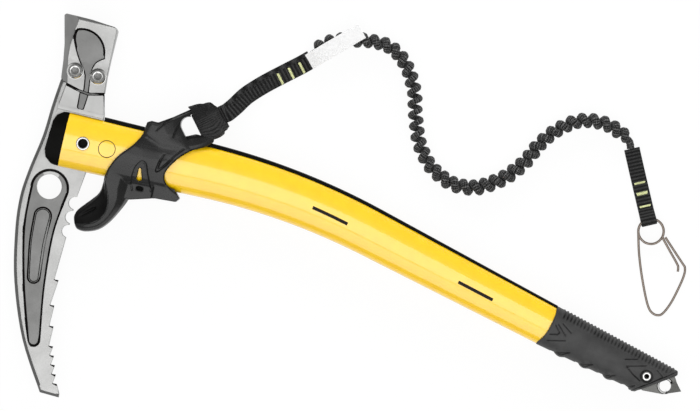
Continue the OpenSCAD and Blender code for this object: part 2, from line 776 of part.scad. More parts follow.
// Tear-shaped slot in each cheek
tear = [[59.3, 26.6, 0.7], [60.4, 19.6, 1.7]];
module trigger() {
    color("#262626")
        difference() {
            union() {
                difference() {
                    intersection() {
                        linear_extrude(tall, center = true)
                            polygon(concat(spline(cheek_left, 4), spline(cheek_right, 4)));
                        loft([for (s = sleeve_s) straight_ring(s, run_gap + sleeve_wall)]);
                    }
                    skin_cut();
                }
                linear_extrude(2 * pad_web_t, center = true)
                    polygon(pad_web);
                linear_extrude(2 * foot_t, center = true)
                    polygon(foot);
                hook_horn();
                difference() {
                    arm();
                    linear_extrude(tall, center = true)
                        ring_hole_plan();
                    at_bar()
                        translate([-bar_r - loop_gap - loop_t - loop_play, -loop_w / 2 - loop_play, -tall / 2])
                            cube([tall, loop_w + 2 * loop_play, tall]);
                }
                at_bar()
                    rotate([90, 0, 0])
                        cylinder(r = bar_r, h = 2 * bar_half, center = true);
            }
            sleeve_bore();
            for (side = [0, 1])
                mirror([0, 0, side])
                    rest_slot_cut();
            linear_extrude(tall, center = true) {
                hull()
                    for (q = tear)
                        translate(flat(q))
                            circle(r = q.z, $fn = 32);
                translate(web_slot)
                    square(web_slot_size, center = true);
            }
        }
}

// Grip: lofted rubber with ribs along the back and knobs along the fingers' side

knob_pitch = 18.6;
knobs = 4;
first_knob = 18.4;
rib_count = floor((grip_len - 10) / rib_pitch);
grip_sides = 24;
rib_start = 6;
// Rings: a plain collar, then two rings a rib
grip_xs = concat([-4, 2], [for (k = [0:2 * rib_count]) rib_start + k * rib_pitch / 2], [grip_len + 4]);
function rib_at(i) = i < 2 || i == len(grip_xs) - 1 ? 0 : rib_h * ((i % 2 == 0) ? 0 : 1);
function knob_at(x) =
    let (k = round((x - first_knob) / knob_pitch), d = (x - first_knob - k * knob_pitch) / knob_pitch)
    k < 0 || k >= knobs ? 0 : knob_h * pow(max(0, cos(360 * d)), 2);
// How much of its full half width the fingers' side keeps
belly_start = 0.97;
belly_loss = 0.18;
function belly_at(x) = belly_start - belly_loss * max(0, x) / grip_len;
function grip_ring(i) =
    let (x = grip_xs[i], s = grip_s + x, w = width_at(s) + 2 * grip_proud)
    [for (k = [0:grip_sides - 1])
        let (a = 360 * k / grip_sides, q = oval(w, grip_t, a), c = cos(a),
            bump = c > 0.6 ? rib_at(i) : c < -0.6 ? knob_at(x) * (-c - 0.6) / 0.4 : 0)
        on_shaft(s, q.x * (c < 0 ? belly_at(x) : 1) + sign(c) * bump, q.y)];
// Plan of the rubber, with round corners at its slanted end
grip_corner_r = 2.6;
grip_edge = 15.2;
grip_belly = -13;
function on_slant(across) =
    slant_bottom + slant_dir * (across - slant_bottom.y) / slant_dir.y;
module grip_plan() {
    offset(r = grip_corner_r)
        offset(delta = -grip_corner_r)
            polygon([on_slant(grip_edge), [-tall, grip_edge + 12], [-tall, -tall],
                [grip_len / 2, grip_belly - 5], on_slant(grip_belly)]);
}
collar = [[0, 18], [2.4, 11], [3, 1.4], [2.2, -8], [-1.5, -18]];

// What the rubber is moulded round: the full tube under the collar, then its seat
module grip_core() {
    s_end = grip_s + grip_len + tall / 2;
    intersection() {
        loft([shaft_ring(grip_s - tall / 2, fit), shaft_ring(seat_s + fit, fit),
            shaft_ring(seat_s + fit, fit - grip_seat), shaft_ring(s_end, fit - grip_seat)]);
        at_grip()
            slant_keep(shaft_setback - fit);
    }
}

// Spike plate, in the grip's frame
spike_rivet = [grip_len - 19.2, 0.8];
spike_rivet_r = spike_rivet_hole_r + rivet_wall;
spike_eye = [grip_len - 3.9, 0.8];
spike_tip = [grip_len + 8, 2.5];
spike_root = 52;
spike_half = 7.4;
module spike_plan() {
    polygon([[spike_root, -spike_half], [spike_root, spike_half], [grip_len - 10, spike_half],
        [grip_len - 1.6, 10.4], [grip_len + 2.5, 6.4], spike_tip, [grip_len - 2.9, -5.2],
        [slant_bottom.x + 2.6, -9.4], [slant_bottom.x - 4, -7.9], [slant_bottom.x - 10, -spike_half]]);
}

module grip() {
    color("#3a3a3a")
        difference() {
            intersection() {
                loft([for (i = [0:len(grip_xs) - 1]) grip_ring(i)]);
                at_grip()
                    linear_extrude(tall, center = true)
                        grip_plan();
            }
            grip_core();
            at_grip() {
                linear_extrude(tall, center = true)
                    polygon(concat(spline(collar, 4), [[-tall, -18], [-tall, 18]]));
                linear_extrude(spike_t + 2 * fit, center = true)
                    offset(delta = fit)
                        spike_plan();
                translate(spike_rivet)
                    cylinder(r = spike_rivet_r + fit, h = tall, center = true);
            }
        }
}

spike_rim = 1.5;
spike_rim_h = 0.6;
tip_half = 0.6;
tip_run = 8;
module spike() {
    wedge = atan2(spike_t / 2 - tip_half, tip_run);
    color("silver")
        at_grip()
            difference() {
                union() {
                    linear_extrude(spike_t, center = true)
                        spike_plan();
                    difference() {
                        translate(spike_eye)
                            cylinder(r = spike_eye_r + spike_rim, h = spike_t + 2 * spike_rim_h, center = true);
                        slant_keep(-0.3);
                    }
                }
                translate(spike_eye)
                    cylinder(r = spike_eye_r, h = tall, center = true);
                translate(spike_rivet)
                    cylinder(r = spike_rivet_r + fit, h = tall, center = true);
                for (side = [0, 1])
                    mirror([0, 0, side])
                        translate([spike_tip.x, 0, tip_half])
                            rotate([0, wedge, 0])
                                translate([-tip_run - 1.5, -tall / 2, 0])
                                    cube([tall, tall, tall]);
            }
}

spike_flange_t = 0.6;
module spike_rivet() {
    color("white")
        at_grip()
            translate(spike_rivet)
                tubular_rivet(spike_rivet_hole_r, spike_rivet_r, spike_rivet_flange_r, grip_t, spike_flange_t);
}

// Fillers between the spike plate and the tube
module spike_packers() {
    color("dimgray")
        difference() {
            intersection() {
                tube_core(grip_s + spike_root, shaft_end_s, grip_seat + shaft_wall + fit);
                at_grip()
                    slant_keep(shaft_setback + 0.4);
            }
            at_grip() {
                cube([4 * tall, tall, spike_t + 2 * fit], center = true);
                translate(spike_rivet)
                    cylinder(r = spike_rivet_r + fit, h = tall, center = true);
            }
        }
}

// Leash: routes are points on the surface that the tool lies on, chosen by hand

sewn_gap = 0.2;
loop_t = 1.5;
loop_len = 15;
loop_tilt = 14;
loop_gap = 0.1;
module loop_plan() {
    difference() {
        hull() {
            circle(r = bar_r + loop_gap + loop_t, $fn = 32);
            translate([loop_len - 4, 0])
                square([8, 2 * loop_t + strap_t], center = true);
        }
        hull() {
            circle(r = bar_r + loop_gap, $fn = 32);
            translate([bar_r + 5, 0])
                circle(r = 0.2, $fn = 16);
        }
    }
}
module leash_loop() {
    color("#141414")
        at_bar()
            rotate([0, loop_tilt, 0])
                rotate([90, 0, 0])
                    linear_extrude(loop_w, center = true)
                        loop_plan();
}

loop_dir = [pull.x * cos(loop_tilt), pull.y * cos(loop_tilt), -sin(loop_tilt)];
loop_end = [bar_c.x, bar_c.y, 0] + loop_dir * loop_len;
strap_lead = [sewn_gap, 2, 4];
strap_route = concat([for (run = strap_lead) loop_end + run * loop_dir],
    [[114, 84.5, -7], [120, 93.5, -10], [130, 103.8, -12.4], [142, 114.2, -12.9], [152, 122.6, -12.9],
        [158.6, 128.6, -12.7]]);
module leash_strap() {
    color("#1a1a1a")
        ribbon(spline(strap_route, 2), strap_w, strap_t);
}

label_w = 11.4;
label_t = 0.8;
label_route = [[157.4, 126.2, -5.8], [163, 131.4, -2.9], [169, 137.2, -1.7], [175, 142.8, -1.5],
    [182, 149.4, -1.7], [188.6, 155.6, -2.4]];
module leash_label() {
    color("white")
        ribbon(spline(label_route, 2), label_w, label_t);
}

elastic_route = [[157, 127.6, -8.9], [159.4, 132.8, -8.7], [163.4, 138.8, -8.3], [169.6, 143.4, -8],
    [177, 146.4, -8], [186, 148.6, -8], [196, 150.2, -8], [207, 150, -8], [218.4, 145, -8],
    [227.6, 134.6, -8], [233.8, 123, -8], [237.4, 110.6, -8], [241.4, 98, -8], [247.2, 85.4, -8],
    [256.4, 74.6, -8], [268, 67.6, -8], [280.6, 65, -8], [293.4, 67.6, -8], [305, 74.6, -8],
    [315.4, 84.4, -8], [322.6, 95.4, -8], [328.6, 107.6, -8], [337, 118, -8], [348, 126.8, -8],
    [360.6, 130.8, -8], [373, 130, -8], [383, 126.2, -8.8], [388.9, 122.3, -10], [391, 118, -11]];
route_fine = spline(elastic_route, 6);
function running(p, i = 0, total = 0) =
    i == len(p) - 1 ? [total] : concat([total], running(p, i + 1, total + norm(p[i + 1] - p[i])));
route_s = running(route_fine);
route_len = route_s[len(route_s) - 1];
route_axes = [for (c = [0:2]) [for (i = [0:len(route_fine) - 1]) [route_s[i], route_fine[i][c]]]];
function on_route(s) = [for (c = [0:2]) lookup(s, route_axes[c])];

// One unbroken curl: the helix opens out of straight ends over a turn, and slack curls stand wider
rings_per_curl = 8;
curl_r = (curl_od - elastic_d) / 2;
curl_end = 4.4;
slack = 0.16;
slack_run = 200;
curl_pitch = (route_len - 2 * curl_end) / curls;
curl_rings = curls * rings_per_curl;
function ease(t) = let (u = max(0, min(1, t))) u * u * (3 - 2 * u);
function curl_point(k) =
    let (s = curl_end + k * curl_pitch / rings_per_curl, a = 360 * k / rings_per_curl,
        r = curl_r * ease(min(k, curl_rings - k) / rings_per_curl) * (1 + slack * cos(360 * s / slack_run)),
        t = unit(on_route(s + 0.5) - on_route(s - 0.5)), u = side_of(t), v = cross(t, u))
    on_route(s) + r * (cos(a) * u + sin(a) * v);
curl_path = concat([on_route(sewn_gap)], [for (k = [0:curl_rings]) curl_point(k)],
    [on_route(route_len - sewn_gap)]);
curl_s = running(curl_path);
apart = 2 * elastic_d;
self_gap = min([for (i = [0:len(curl_path) - 1], j = [i + 4:1:min(i + 24, len(curl_path) - 1)])
    if (curl_s[j] - curl_s[i] > apart) norm(curl_path[i] - curl_path[j])]) - elastic_d;
echo("least gap between curls", self_gap, "length of the curled axis", route_len,
    "length of the cord itself", curl_s[len(curl_s) - 1]);
module leash_elastic() {
    color("#101010")
        wire(curl_path, elastic_d, 6);
}

// End tab, with an eye round the clip's coil
tab_start = elastic_route[len(elastic_route) - 1];
tab_dir = unit([0.4386, -0.8987]);
tab_eye_wall = 1.2;
coil_c = [418, 64.4];
coil_offset = 0.95;
eye_xy = coil_c - tab_dir * (coil_r - coil_offset);
eye_z = floor_z + lie_gap + tab_eye_r + tab_eye_wall;
tab_eye = [eye_xy.x, eye_xy.y, eye_z];
tab_route = [tab_start, [393, 113.9, -12], [398, 103.6, -12.5], [408, 83.1, -12.3], tab_eye];
module leash_tab() {
    color("#1a1a1a")
        difference() {
            union() {
                ribbon(spline(tab_route, 3), tab_w, tab_t);
                eye_barrel(tab_eye_r + tab_eye_wall, tab_w);
            }
            eye_barrel(tab_eye_r, 2 * tab_w);
        }
}
module eye_barrel(r, h) {
    translate(tab_eye)
        rotate([0, 0, atan2(tab_dir.y, tab_dir.x)])
            rotate([90, 0, 0])
                cylinder(r = r, h = h, center = true);
}

// Clip: drawn flat round its coil, then hung in the tab's eye so that its far end meets the surface
coil_half = wire_d / 2 + 0.15;
clip_reach = 66.4;
clip_tilt = asin((eye_z - coil_half - wire_d / 2 - floor_z - lie_gap) / clip_reach);
module at_clip() {
    translate(tab_eye)
        rotate([0, 0, atan2(tab_dir.y, tab_dir.x)])
            rotate([0, clip_tilt, 0])
                rotate([0, 0, -atan2(tab_dir.y, tab_dir.x)])
                    translate(-tab_eye)
                        children();
}
function lifted(p, dz) = [for (q = p) [q.x, q.y, eye_z + dz]];
// Long leg, nose and fold of the body, after its turn of the coil
body_line = [[410.2, 59], [413.2, 48], [418.1, 34.3], [424.4, 19.6], [428.6, 11.8], [432, 8.7], [436, 8],
    [439.4, 10.4], [443.3, 19.2], [446.5, 32.2], [447.7, 40.4], [447, 45], [445.4, 46.8], [440, 51.9],
    [428.8, 62.6]];
module clip_wire() {
    coil = arc(coil_c, coil_r, -112, 195, 24);
    color("#7d6f66")
        at_clip()
            wire(lifted(concat(coil, spline(body_line, 3)), -coil_half), wire_d);
}
// Arm and hooked tail of the gate, after its own turn of the coil
gate_line = [[427.6, 61], [433, 55], [440.9, 46.3], [442.3, 43.8], [442.7, 41]];
module clip_gate() {
    coil = arc(coil_c, coil_r, 310, -12, 24);
    color("#7d6f66")
        at_clip()
            wire(lifted(concat(coil, spline(gate_line, 2)), coil_half), wire_d);
}

head_blade();
hammer();
hammer_bolts();
hammer_nuts();
shaft();
back_strip();
end_plug_near();
end_plug_far();
head_rivet();
trigger();
grip();
spike();
spike_rivet();
spike_packers();
leash_loop();
leash_strap();
leash_label();
leash_elastic();
leash_tab();
clip_wire();
clip_gate();
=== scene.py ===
"""Looks of an ice climbing tool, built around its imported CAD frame.

Metres in the frame's axes: X along the upper shaft, Y towards the hammer, Z up from the floor it lies on.
"""

import math

import bmesh
import bpy
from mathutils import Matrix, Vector


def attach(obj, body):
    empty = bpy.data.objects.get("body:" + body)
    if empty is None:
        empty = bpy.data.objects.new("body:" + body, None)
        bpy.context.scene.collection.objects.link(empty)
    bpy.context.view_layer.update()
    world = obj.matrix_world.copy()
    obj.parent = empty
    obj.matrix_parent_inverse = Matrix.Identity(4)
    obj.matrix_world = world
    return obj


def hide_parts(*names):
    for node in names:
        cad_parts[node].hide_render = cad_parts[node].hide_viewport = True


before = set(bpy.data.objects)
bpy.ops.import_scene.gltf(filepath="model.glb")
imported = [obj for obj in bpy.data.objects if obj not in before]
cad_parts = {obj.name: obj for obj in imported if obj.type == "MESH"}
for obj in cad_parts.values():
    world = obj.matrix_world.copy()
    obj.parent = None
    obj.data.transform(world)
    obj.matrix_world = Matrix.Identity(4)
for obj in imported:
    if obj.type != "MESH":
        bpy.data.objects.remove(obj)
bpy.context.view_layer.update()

MM = 0.001
UP = Vector((0, 0, 1))
FLOOR_Z = -14 * MM
WELD = 0.002 * MM
SOFT_TURN = math.radians(25)


# Shapes

def mm(x, y, z=0):
    return Vector((x, y, z)) * MM


def ease(t):
    t = max(0, min(1, t))
    return t * t * (3 - 2 * t)


def smooth_line(points, steps):
    """Points along a smooth curve through the given ones."""
    line = []
    last = len(points) - 1
    for i in range(last):
        a, b, c, d = (points[max(0, min(last, i + k))] for k in (-1, 0, 1, 2))
        for k in range(steps):
            t = k / steps
            line.append(b + 0.5 * t * ((c - a) + t * (2 * a - 5 * b + 4 * c - d + t * (3 * b - a - 3 * c + d))))
    return line + [points[-1]]


def curve(points, steps):
    """A smooth curve through bare (x, y) points."""
    return smooth_line([Vector(p) for p in points], steps)


def route(*points):
    return [mm(*p) for p in points]


def run_lengths(path):
    """How far along the path each of its points lies."""
    runs = [0.0]
    for a, b in zip(path, path[1:]):
        runs.append(runs[-1] + (b - a).length)
    return runs


def grid(rows, columns, place):
    """A grid whose corner (row, column) is moved to place(row, column): a point, its UV and, in a groove, how deep."""
    bm = bmesh.new()
    uv = bm.loops.layers.uv.new("UVMap")
    hollow = bm.verts.layers.float.new("hollow")
    bmesh.ops.create_grid(bm, x_segments=rows, y_segments=columns, size=1)
    spots = {}
    for vert in bm.verts:
        spots[vert] = place(round((vert.co.x + 1) / 2 * rows), round((vert.co.y + 1) / 2 * columns))
    for face in bm.faces:
        for loop in face.loops:
            loop[uv].uv = spots[loop.vert][1]
    for vert, (spot, _, *depth) in spots.items():
        vert.co = spot
        vert[hollow] = depth[0] if depth else 0
    return bm


def weld(bm):
    bmesh.ops.remove_doubles(bm, verts=bm.verts, dist=WELD)


def seal(bm):
    """Joins seams, fills open ends and turns the faces outwards."""
    weld(bm)
    bmesh.ops.holes_fill(bm, edges=[e for e in bm.edges if e.is_boundary], sides=0)
    bmesh.ops.recalc_face_normals(bm, faces=bm.faces)
    return bm


def sweep(path, section, across=None):
    """A skin along a path. section(run), in mm, lists (side, up, groove) round it; across is its side if not level."""
    runs = run_lengths(path)
    frames = []
    for i, spot in enumerate(path):
        along = (path[min(i + 1, len(path) - 1)] - path[max(i - 1, 0)]).normalized()
        side = UP.cross(along) if across is None else across[i] if isinstance(across, list) else across
        side = side.normalized()
        frames.append((spot, side, along.cross(side)))
    rings = [section(run / MM) for run in runs]
    columns = len(rings[0])
    girth = run_lengths([Vector(p[:2]) * MM for p in rings[0] + rings[0][:1]])

    def place(row, column):
        spot, side, up = frames[row]
        out, high, *deep = rings[row][column % columns]
        return spot + (side * out + up * high) * MM, (runs[row], girth[column]), *deep

    return seal(grid(len(path) - 1, columns, place))


def round_section(radius, sides):
    turns = [math.tau * k / sides for k in range(sides)]
    return [(radius * math.cos(a), radius * math.sin(a)) for a in turns]


def flat_section(width, thick, columns=12):
    """A strap's section: flat above and below, with round edges."""
    half, r = width / 2 - thick / 2, thick / 2
    top = [(half - 2 * half * k / columns, r) for k in range(columns + 1)]
    left = [(-half - r * math.sin(a), r * math.cos(a)) for a in (math.pi / 4, math.pi / 2, 3 * math.pi / 4)]
    return top + left + [(-x, -z) for x, z in top] + [(-x, -z) for x, z in left]


def spun(profile, centre, steps=48):
    """A turned shape: (radius, height) points, in mm, spun about the upright axis through centre."""
    bm = bmesh.new()
    verts = [bm.verts.new(centre + mm(r, 0, z)) for r, z in profile]
    edges = [bm.edges.new(pair) for pair in zip(verts, verts[1:])]
    bmesh.ops.spin(bm, geom=verts + edges, cent=centre, axis=UP, angle=math.tau, steps=steps, use_merge=True)
    return seal(bm)


def scratch(bm):
    """A passing object that holds a bmesh while a modifier works on it."""
    mesh = bpy.data.meshes.new("scratch")
    bm.to_mesh(mesh)
    bm.free()
    obj = bpy.data.objects.new("scratch", mesh)
    bpy.context.scene.collection.objects.link(obj)
    return obj


def settled(obj, *others):
    """What the modifiers make of a passing object, which goes."""
    ready = obj.evaluated_get(bpy.context.evaluated_depsgraph_get())
    bm = bmesh.new()
    bm.from_mesh(ready.to_mesh())
    for gone in (obj, *others):
        bpy.data.objects.remove(gone)
    return bm


def cut(bm, *tools):
    """bm less some closed shapes."""
    whole = scratch(bm)
    cutters = [scratch(tool) for tool in tools]
    for cutter in cutters:
        bite = whole.modifiers.new("bite", "BOOLEAN")
        bite.operation, bite.solver, bite.object = "DIFFERENCE", "EXACT", cutter
    return settled(whole, *cutters)


def cad_copy(node):
    """A copy of a CAD node with its loose triangles merged, its slivers closed and its flats joined."""
    bm = bmesh.new()
    bm.from_mesh(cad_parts[node].data)
    weld(bm)
    bmesh.ops.dissolve_degenerate(bm, edges=bm.edges, dist=0.1 * MM)
    bmesh.ops.dissolve_limit(bm, angle_limit=math.radians(0.3), verts=bm.verts, edges=bm.edges)
    return bm


def block(size, centre):
    """A box of that size round its centre."""
    bm = bmesh.new()
    bmesh.ops.create_cube(bm, size=1)
    bmesh.ops.scale(bm, vec=size, verts=bm.verts)
    bmesh.ops.translate(bm, vec=centre, verts=bm.verts)
    return bm


def points_in(geom):
    return [part for part in geom if isinstance(part, bmesh.types.BMVert)]


def middle(edge):
    """An edge's midpoint, in mm."""
    return (edge.verts[0].co + edge.verts[1].co) / 2 / MM


def softened(bm, width, chosen=None, segments=2):
    """Rounds the edges that turn sharply, or those that chosen picks out of them, by a width in mm."""
    edges = [e for e in bm.edges if e.is_manifold and e.calc_face_angle() > SOFT_TURN and (not chosen or chosen(e))]
    bmesh.ops.bevel(bm, geom=edges, offset=width * MM, offset_type="OFFSET", affect="EDGES", segments=segments,
                    profile=0.5, material=-1, clamp_overlap=False)
    return bm


def piece(name, bm, finish, body, stands_for=(), sharp=35, others=(), pick=None):
    """Makes a bmesh a shown piece that rides on a body. pick(face) numbers the finish that a face gets."""
    for face in bm.faces:
        face.material_index = pick(face) if pick else 0
    mesh = bpy.data.meshes.new(name)
    bm.to_mesh(mesh)
    bm.free()
    mesh.polygons.foreach_set("use_smooth", [True] * len(mesh.polygons))
    mesh.set_sharp_from_angle(angle=math.radians(sharp))
    for material in (finish, *others):
        mesh.materials.append(material)
    obj = bpy.data.objects.new(name, mesh)
    bpy.context.scene.collection.objects.link(obj)
    obj.modifiers.new("even_normals", "WEIGHTED_NORMAL").keep_sharp = True
    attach(obj, body)
    if stands_for:
        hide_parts(*stands_for)
    return obj


# Materials

def linear(code):
    """An sRGB hex colour as linear RGBA."""
    parts = [int(code[i:i + 2], 16) / 255 for i in (1, 3, 5)]
    return (*[c / 12.92 if c <= 0.04045 else ((c + 0.055) / 1.055) ** 2.4 for c in parts], 1)


def per(size):
    """Texture scale for features of that size in millimetres."""
    return 1 / (size * MM)


def add(tree, kind, *inputs, **settings):
    """Adds a node: inputs go to its sockets in order or by Name, and lower-case settings are its properties."""
    node = tree.nodes.new("ShaderNode" + kind)
    fed = dict(enumerate(inputs))
    for name, value in settings.items():
        if name == "stops":
            for i, (spot, code) in enumerate(value):
                stop = node.color_ramp.elements[i] if i < 2 else node.color_ramp.elements.new(spot)
                stop.position, stop.color = spot, linear(code)
        elif name[0].islower():
            setattr(node, name, value)
        else:
            fed[name.replace("_", " ")] = value
    for name, value in fed.items():
        if isinstance(value, bpy.types.Node):
            value = value.outputs[0]
        if isinstance(value, bpy.types.NodeSocket):
            tree.links.new(value, node.inputs[name])
        else:
            node.inputs[name].default_value = value
    return node


def noise(tree, where, size, detail, **settings):
    """Noise with features of that size in millimetres."""
    return add(tree, "TexNoise", Vector=where, Scale=per(size), Detail=detail, **settings)


def maths(tree, operation, *inputs):
    return add(tree, "Math", *inputs, operation=operation)


def tones(tree, value, *stops):
    return add(tree, "ValToRGB", value, stops=stops)


def between(tree, value, low, high):
    return add(tree, "MapRange", Value=value, To_Min=low, To_Max=high)


def bump(tree, height, strength, depth):
    """A bump of that depth in millimetres."""
    return add(tree, "Bump", Height=height, Strength=strength, Distance=depth * MM)


def finish(name, **sockets):
    """A material with those constants on its shader; gives the material, its tree, its shader and its coordinates."""
    made = bpy.data.materials.new(name)
    made.use_nodes = True
    shader = made.node_tree.nodes["Principled BSDF"]
    for socket, value in sockets.items():
        shader.inputs[socket.replace("_", " ")].default_value = value
    return made, made.node_tree, shader, add(made.node_tree, "TexCoord")


def wire_up(tree, shader, **outputs):
    """Links node outputs to the shader's named sockets."""
    for name, node in outputs.items():
        tree.links.new(node.outputs[0], shader.inputs[name.replace("_", " ")])


def forged_steel(name, dark, light, rough):
    """Drop-forged steel, shot-blasted and tumbled: a satin grain, with faint clouds of tone."""
    made, tree, shader, at = finish(name, Metallic=1.0)
    where = at.outputs["Object"]
    cloud = noise(tree, where, 14, 3.0)
    grit = noise(tree, where, 0.7, 2.0)
    wire_up(tree, shader,
            Base_Color=tones(tree, cloud, (0.3, dark), (0.7, light)),
            Roughness=between(tree, grit, rough - 0.06, rough + 0.06),
            Normal=bump(tree, grit, 0.25, 0.05))
    return made


def polished_steel():
    """Turned and polished stainless steel: bright, with faint rubbing marks in the gloss."""
    made, tree, shader, at = finish("polished_stainless_steel", Metallic=1.0)
    smear = noise(tree, at.outputs["Object"], 1.6, 3.0, Distortion=1.5)
    wire_up(tree, shader,
            Base_Color=tones(tree, smear, (0.3, "#c0c0bf"), (0.7, "#d8d8d6")),
            Roughness=between(tree, smear, 0.16, 0.28))
    return made


def yellow_lacquer():
    """Aluminium tube, painted and clear-coated: a deep even yellow under a glossy skin with slight orange peel."""
    made, tree, shader, at = finish("painted_aluminium_yellow", Roughness=0.3, Coat_Weight=1.0, Coat_IOR=1.6,
                                    Coat_Roughness=0.07)
    where = at.outputs["Object"]
    cloud = noise(tree, where, 9, 3.0)
    peel = noise(tree, where, 2.4, 1.0)
    wire_up(tree, shader,
            Base_Color=tones(tree, cloud, (0.3, "#fcca04"), (0.7, "#ffd108")),
            Normal=bump(tree, peel, 0.03, 0.1),
            Coat_Normal=bump(tree, peel, 0.04, 0.1))
    return made


def printed_black():
    """Screen-printed black ink on the lacquer, a little uneven in its edge gloss."""
    made, tree, shader, at = finish("screen_printed_ink_black", Specular_IOR_Level=0.15)
    speck = noise(tree, at.outputs["Object"], 0.9, 2.0)
    wire_up(tree, shader,
            Base_Color=tones(tree, speck, (0.3, "#0d0a06"), (0.7, "#18130c")),
            Roughness=between(tree, speck, 0.35, 0.5))
    return made


def shade_in_grooves(tree, tone):
    """A tone that falls where the piece's own "hollow" value says a groove lies: painted shade in grooves."""
    groove_shade = add(tree, "Attribute", attribute_name="hollow")
    return maths(tree, "MULTIPLY_ADD", groove_shade.outputs["Fac"], -0.5, tone)


def moulded(name, dark, light, grain, rough, depth, gloss):
    """Moulded plastic or rubber: a fine grain from the mould, paler wear, and painted shade in its grooves."""
    made, tree, shader, at = finish(name, Specular_IOR_Level=gloss)
    where = at.outputs["Object"]
    skin = noise(tree, where, grain, 3.0)
    wear = noise(tree, where, 11, 4.0)
    tone = maths(tree, "ADD", maths(tree, "MULTIPLY", wear, 0.7), maths(tree, "MULTIPLY", skin, 0.3))
    # The near-black last stop is the painted shade that the grooves fall to
    wire_up(tree, shader,
            Base_Color=tones(tree, shade_in_grooves(tree, tone), (0.38, dark), (0.65, light), (0.08, "#060606")),
            Roughness=between(tree, skin, rough - 0.08, rough + 0.08),
            Normal=bump(tree, skin, 0.35, depth))
    return made


def woven(name, dark, light, thread, sheen):
    """Woven tape: threads cross at a slant to the tape's length, drawn as coarse as they need to show."""
    made, tree, shader, at = finish(name, Sheen_Weight=sheen, Sheen_Roughness=0.5, Specular_IOR_Level=0.2)
    where = add(tree, "SeparateXYZ", at.outputs["UV"])
    turns = []
    for way in (1, -1):
        slant = maths(tree, "MULTIPLY_ADD", where.outputs["Y"], float(way), where.outputs["X"])
        turns.append(maths(tree, "SINE", maths(tree, "MULTIPLY", slant, math.tau * per(thread))))
    weave = maths(tree, "MULTIPLY", *turns)
    fuzz = noise(tree, at.outputs["Object"], thread / 3, 2.0)
    height = maths(tree, "ADD", maths(tree, "MULTIPLY", weave, 0.3), fuzz)
    # Grooves in the tape's shape darken it as painted shade
    wire_up(tree, shader,
            Base_Color=tones(tree, shade_in_grooves(tree, height), (0.25, dark), (0.8, light)),
            Roughness=between(tree, height, 0.9, 0.7),
            Normal=bump(tree, height, 0.6, 0.2))
    return made


def spring_wire():
    """Drawn spring steel with a thin brown temper oxide: brownish grey, with fine drawing lines along it."""
    made, tree, shader, at = finish("drawn_spring_steel", Metallic=1.0)
    lines = add(tree, "Mapping", at.outputs["UV"], Scale=(per(25), per(1.5), 1.0))
    drawn = add(tree, "TexNoise", Vector=lines, Scale=1.0, Detail=3.0)
    wire_up(tree, shader,
            Base_Color=tones(tree, drawn, (0.3, "#7c7169"), (0.7, "#92877e")),
            Roughness=between(tree, drawn, 0.3, 0.45))
    return made


BLADE_STEEL = forged_steel("forged_steel_ground", "#9f9f9e", "#ababaa", 0.42)
HAMMER_STEEL = forged_steel("forged_steel_hammer", "#989897", "#a5a5a4", 0.4)
# Forging skin on the sunk floors; also put on steep slopes and in the bolt sockets as painted shade
SKIN_AND_SHADE_STEEL = forged_steel("forged_steel_skin_and_shade", "#737372", "#80807f", 0.48)
# Painted shade: near-black steel put on walls, gaps, outlines, notch chamfers, rim edges and rivet holes, which are
# dark only from shade
SHADE_STEEL = forged_steel("steel_painted_shade", "#191817", "#262524", 0.6)
SPIKE_STEEL = forged_steel("forged_steel_spike", "#5a5a58", "#686866", 0.38)
FASTENER_STEEL = polished_steel()
YELLOW = yellow_lacquer()
INK = printed_black()
BLACK_PLASTIC = moulded("moulded_nylon_black", "#050504", "#0a0a08", 0.6, 0.5, 0.05, 0.06)
TRIGGER_RUBBER = moulded("moulded_rubber_trigger", "#151515", "#1f1f1f", 0.8, 0.28, 0.05, 0.36)
# A darker, duller copy of the trigger rubber for the finger rest, which faces away from the light: painted shade
REST_RUBBER_SHADED = moulded("moulded_rubber_finger_rest_shaded", "#0a0a0a", "#141414", 0.8, 0.5, 0.05, 0.1)
GRIP_RUBBER = moulded("moulded_rubber_grip", "#333333", "#414141", 0.7, 0.52, 0.08, 0.3)
WEBBING = woven("woven_polyamide_webbing", "#060606", "#505050", 1.0, 0.12)
KNIT = woven("braided_elastic_sheath", "#060606", "#727272", 2.2, 0.12)
LABEL_TAPE = woven("woven_polyester_label", "#e6e6e6", "#f8f8f8", 0.9, 0.0)
TACK_THREAD = woven("twisted_polyester_thread", "#cbd088", "#f2f5c8", 0.6, 0.2)
BLACK_THREAD = woven("twisted_polyester_thread_black", "#0c0c0c", "#2c2c2c", 0.6, 0.2)
SPRING_WIRE = spring_wire()


# Camera, straight above, and light

VIEW_CENTRE = mm(208, 34.5)
VIEW_TURN = math.radians(13)
VIEW_WIDTH = 490 * MM
LENS = 250
SENSOR = 36
LOW_LAMP = 2
FLOOR_SIZE = 6
FLOOR_GLOW = 0.93

camera = bpy.data.objects.new("camera", bpy.data.cameras.new("camera"))
camera.data.lens = LENS
camera.data.sensor_width = SENSOR
camera.data.clip_end = 20
camera.location = VIEW_CENTRE + UP * VIEW_WIDTH * LENS / SENSOR
camera.rotation_euler = (0, 0, VIEW_TURN)
bpy.context.scene.collection.objects.link(camera)
bpy.context.scene.camera = camera
bpy.context.scene.view_settings.view_transform = "Standard"


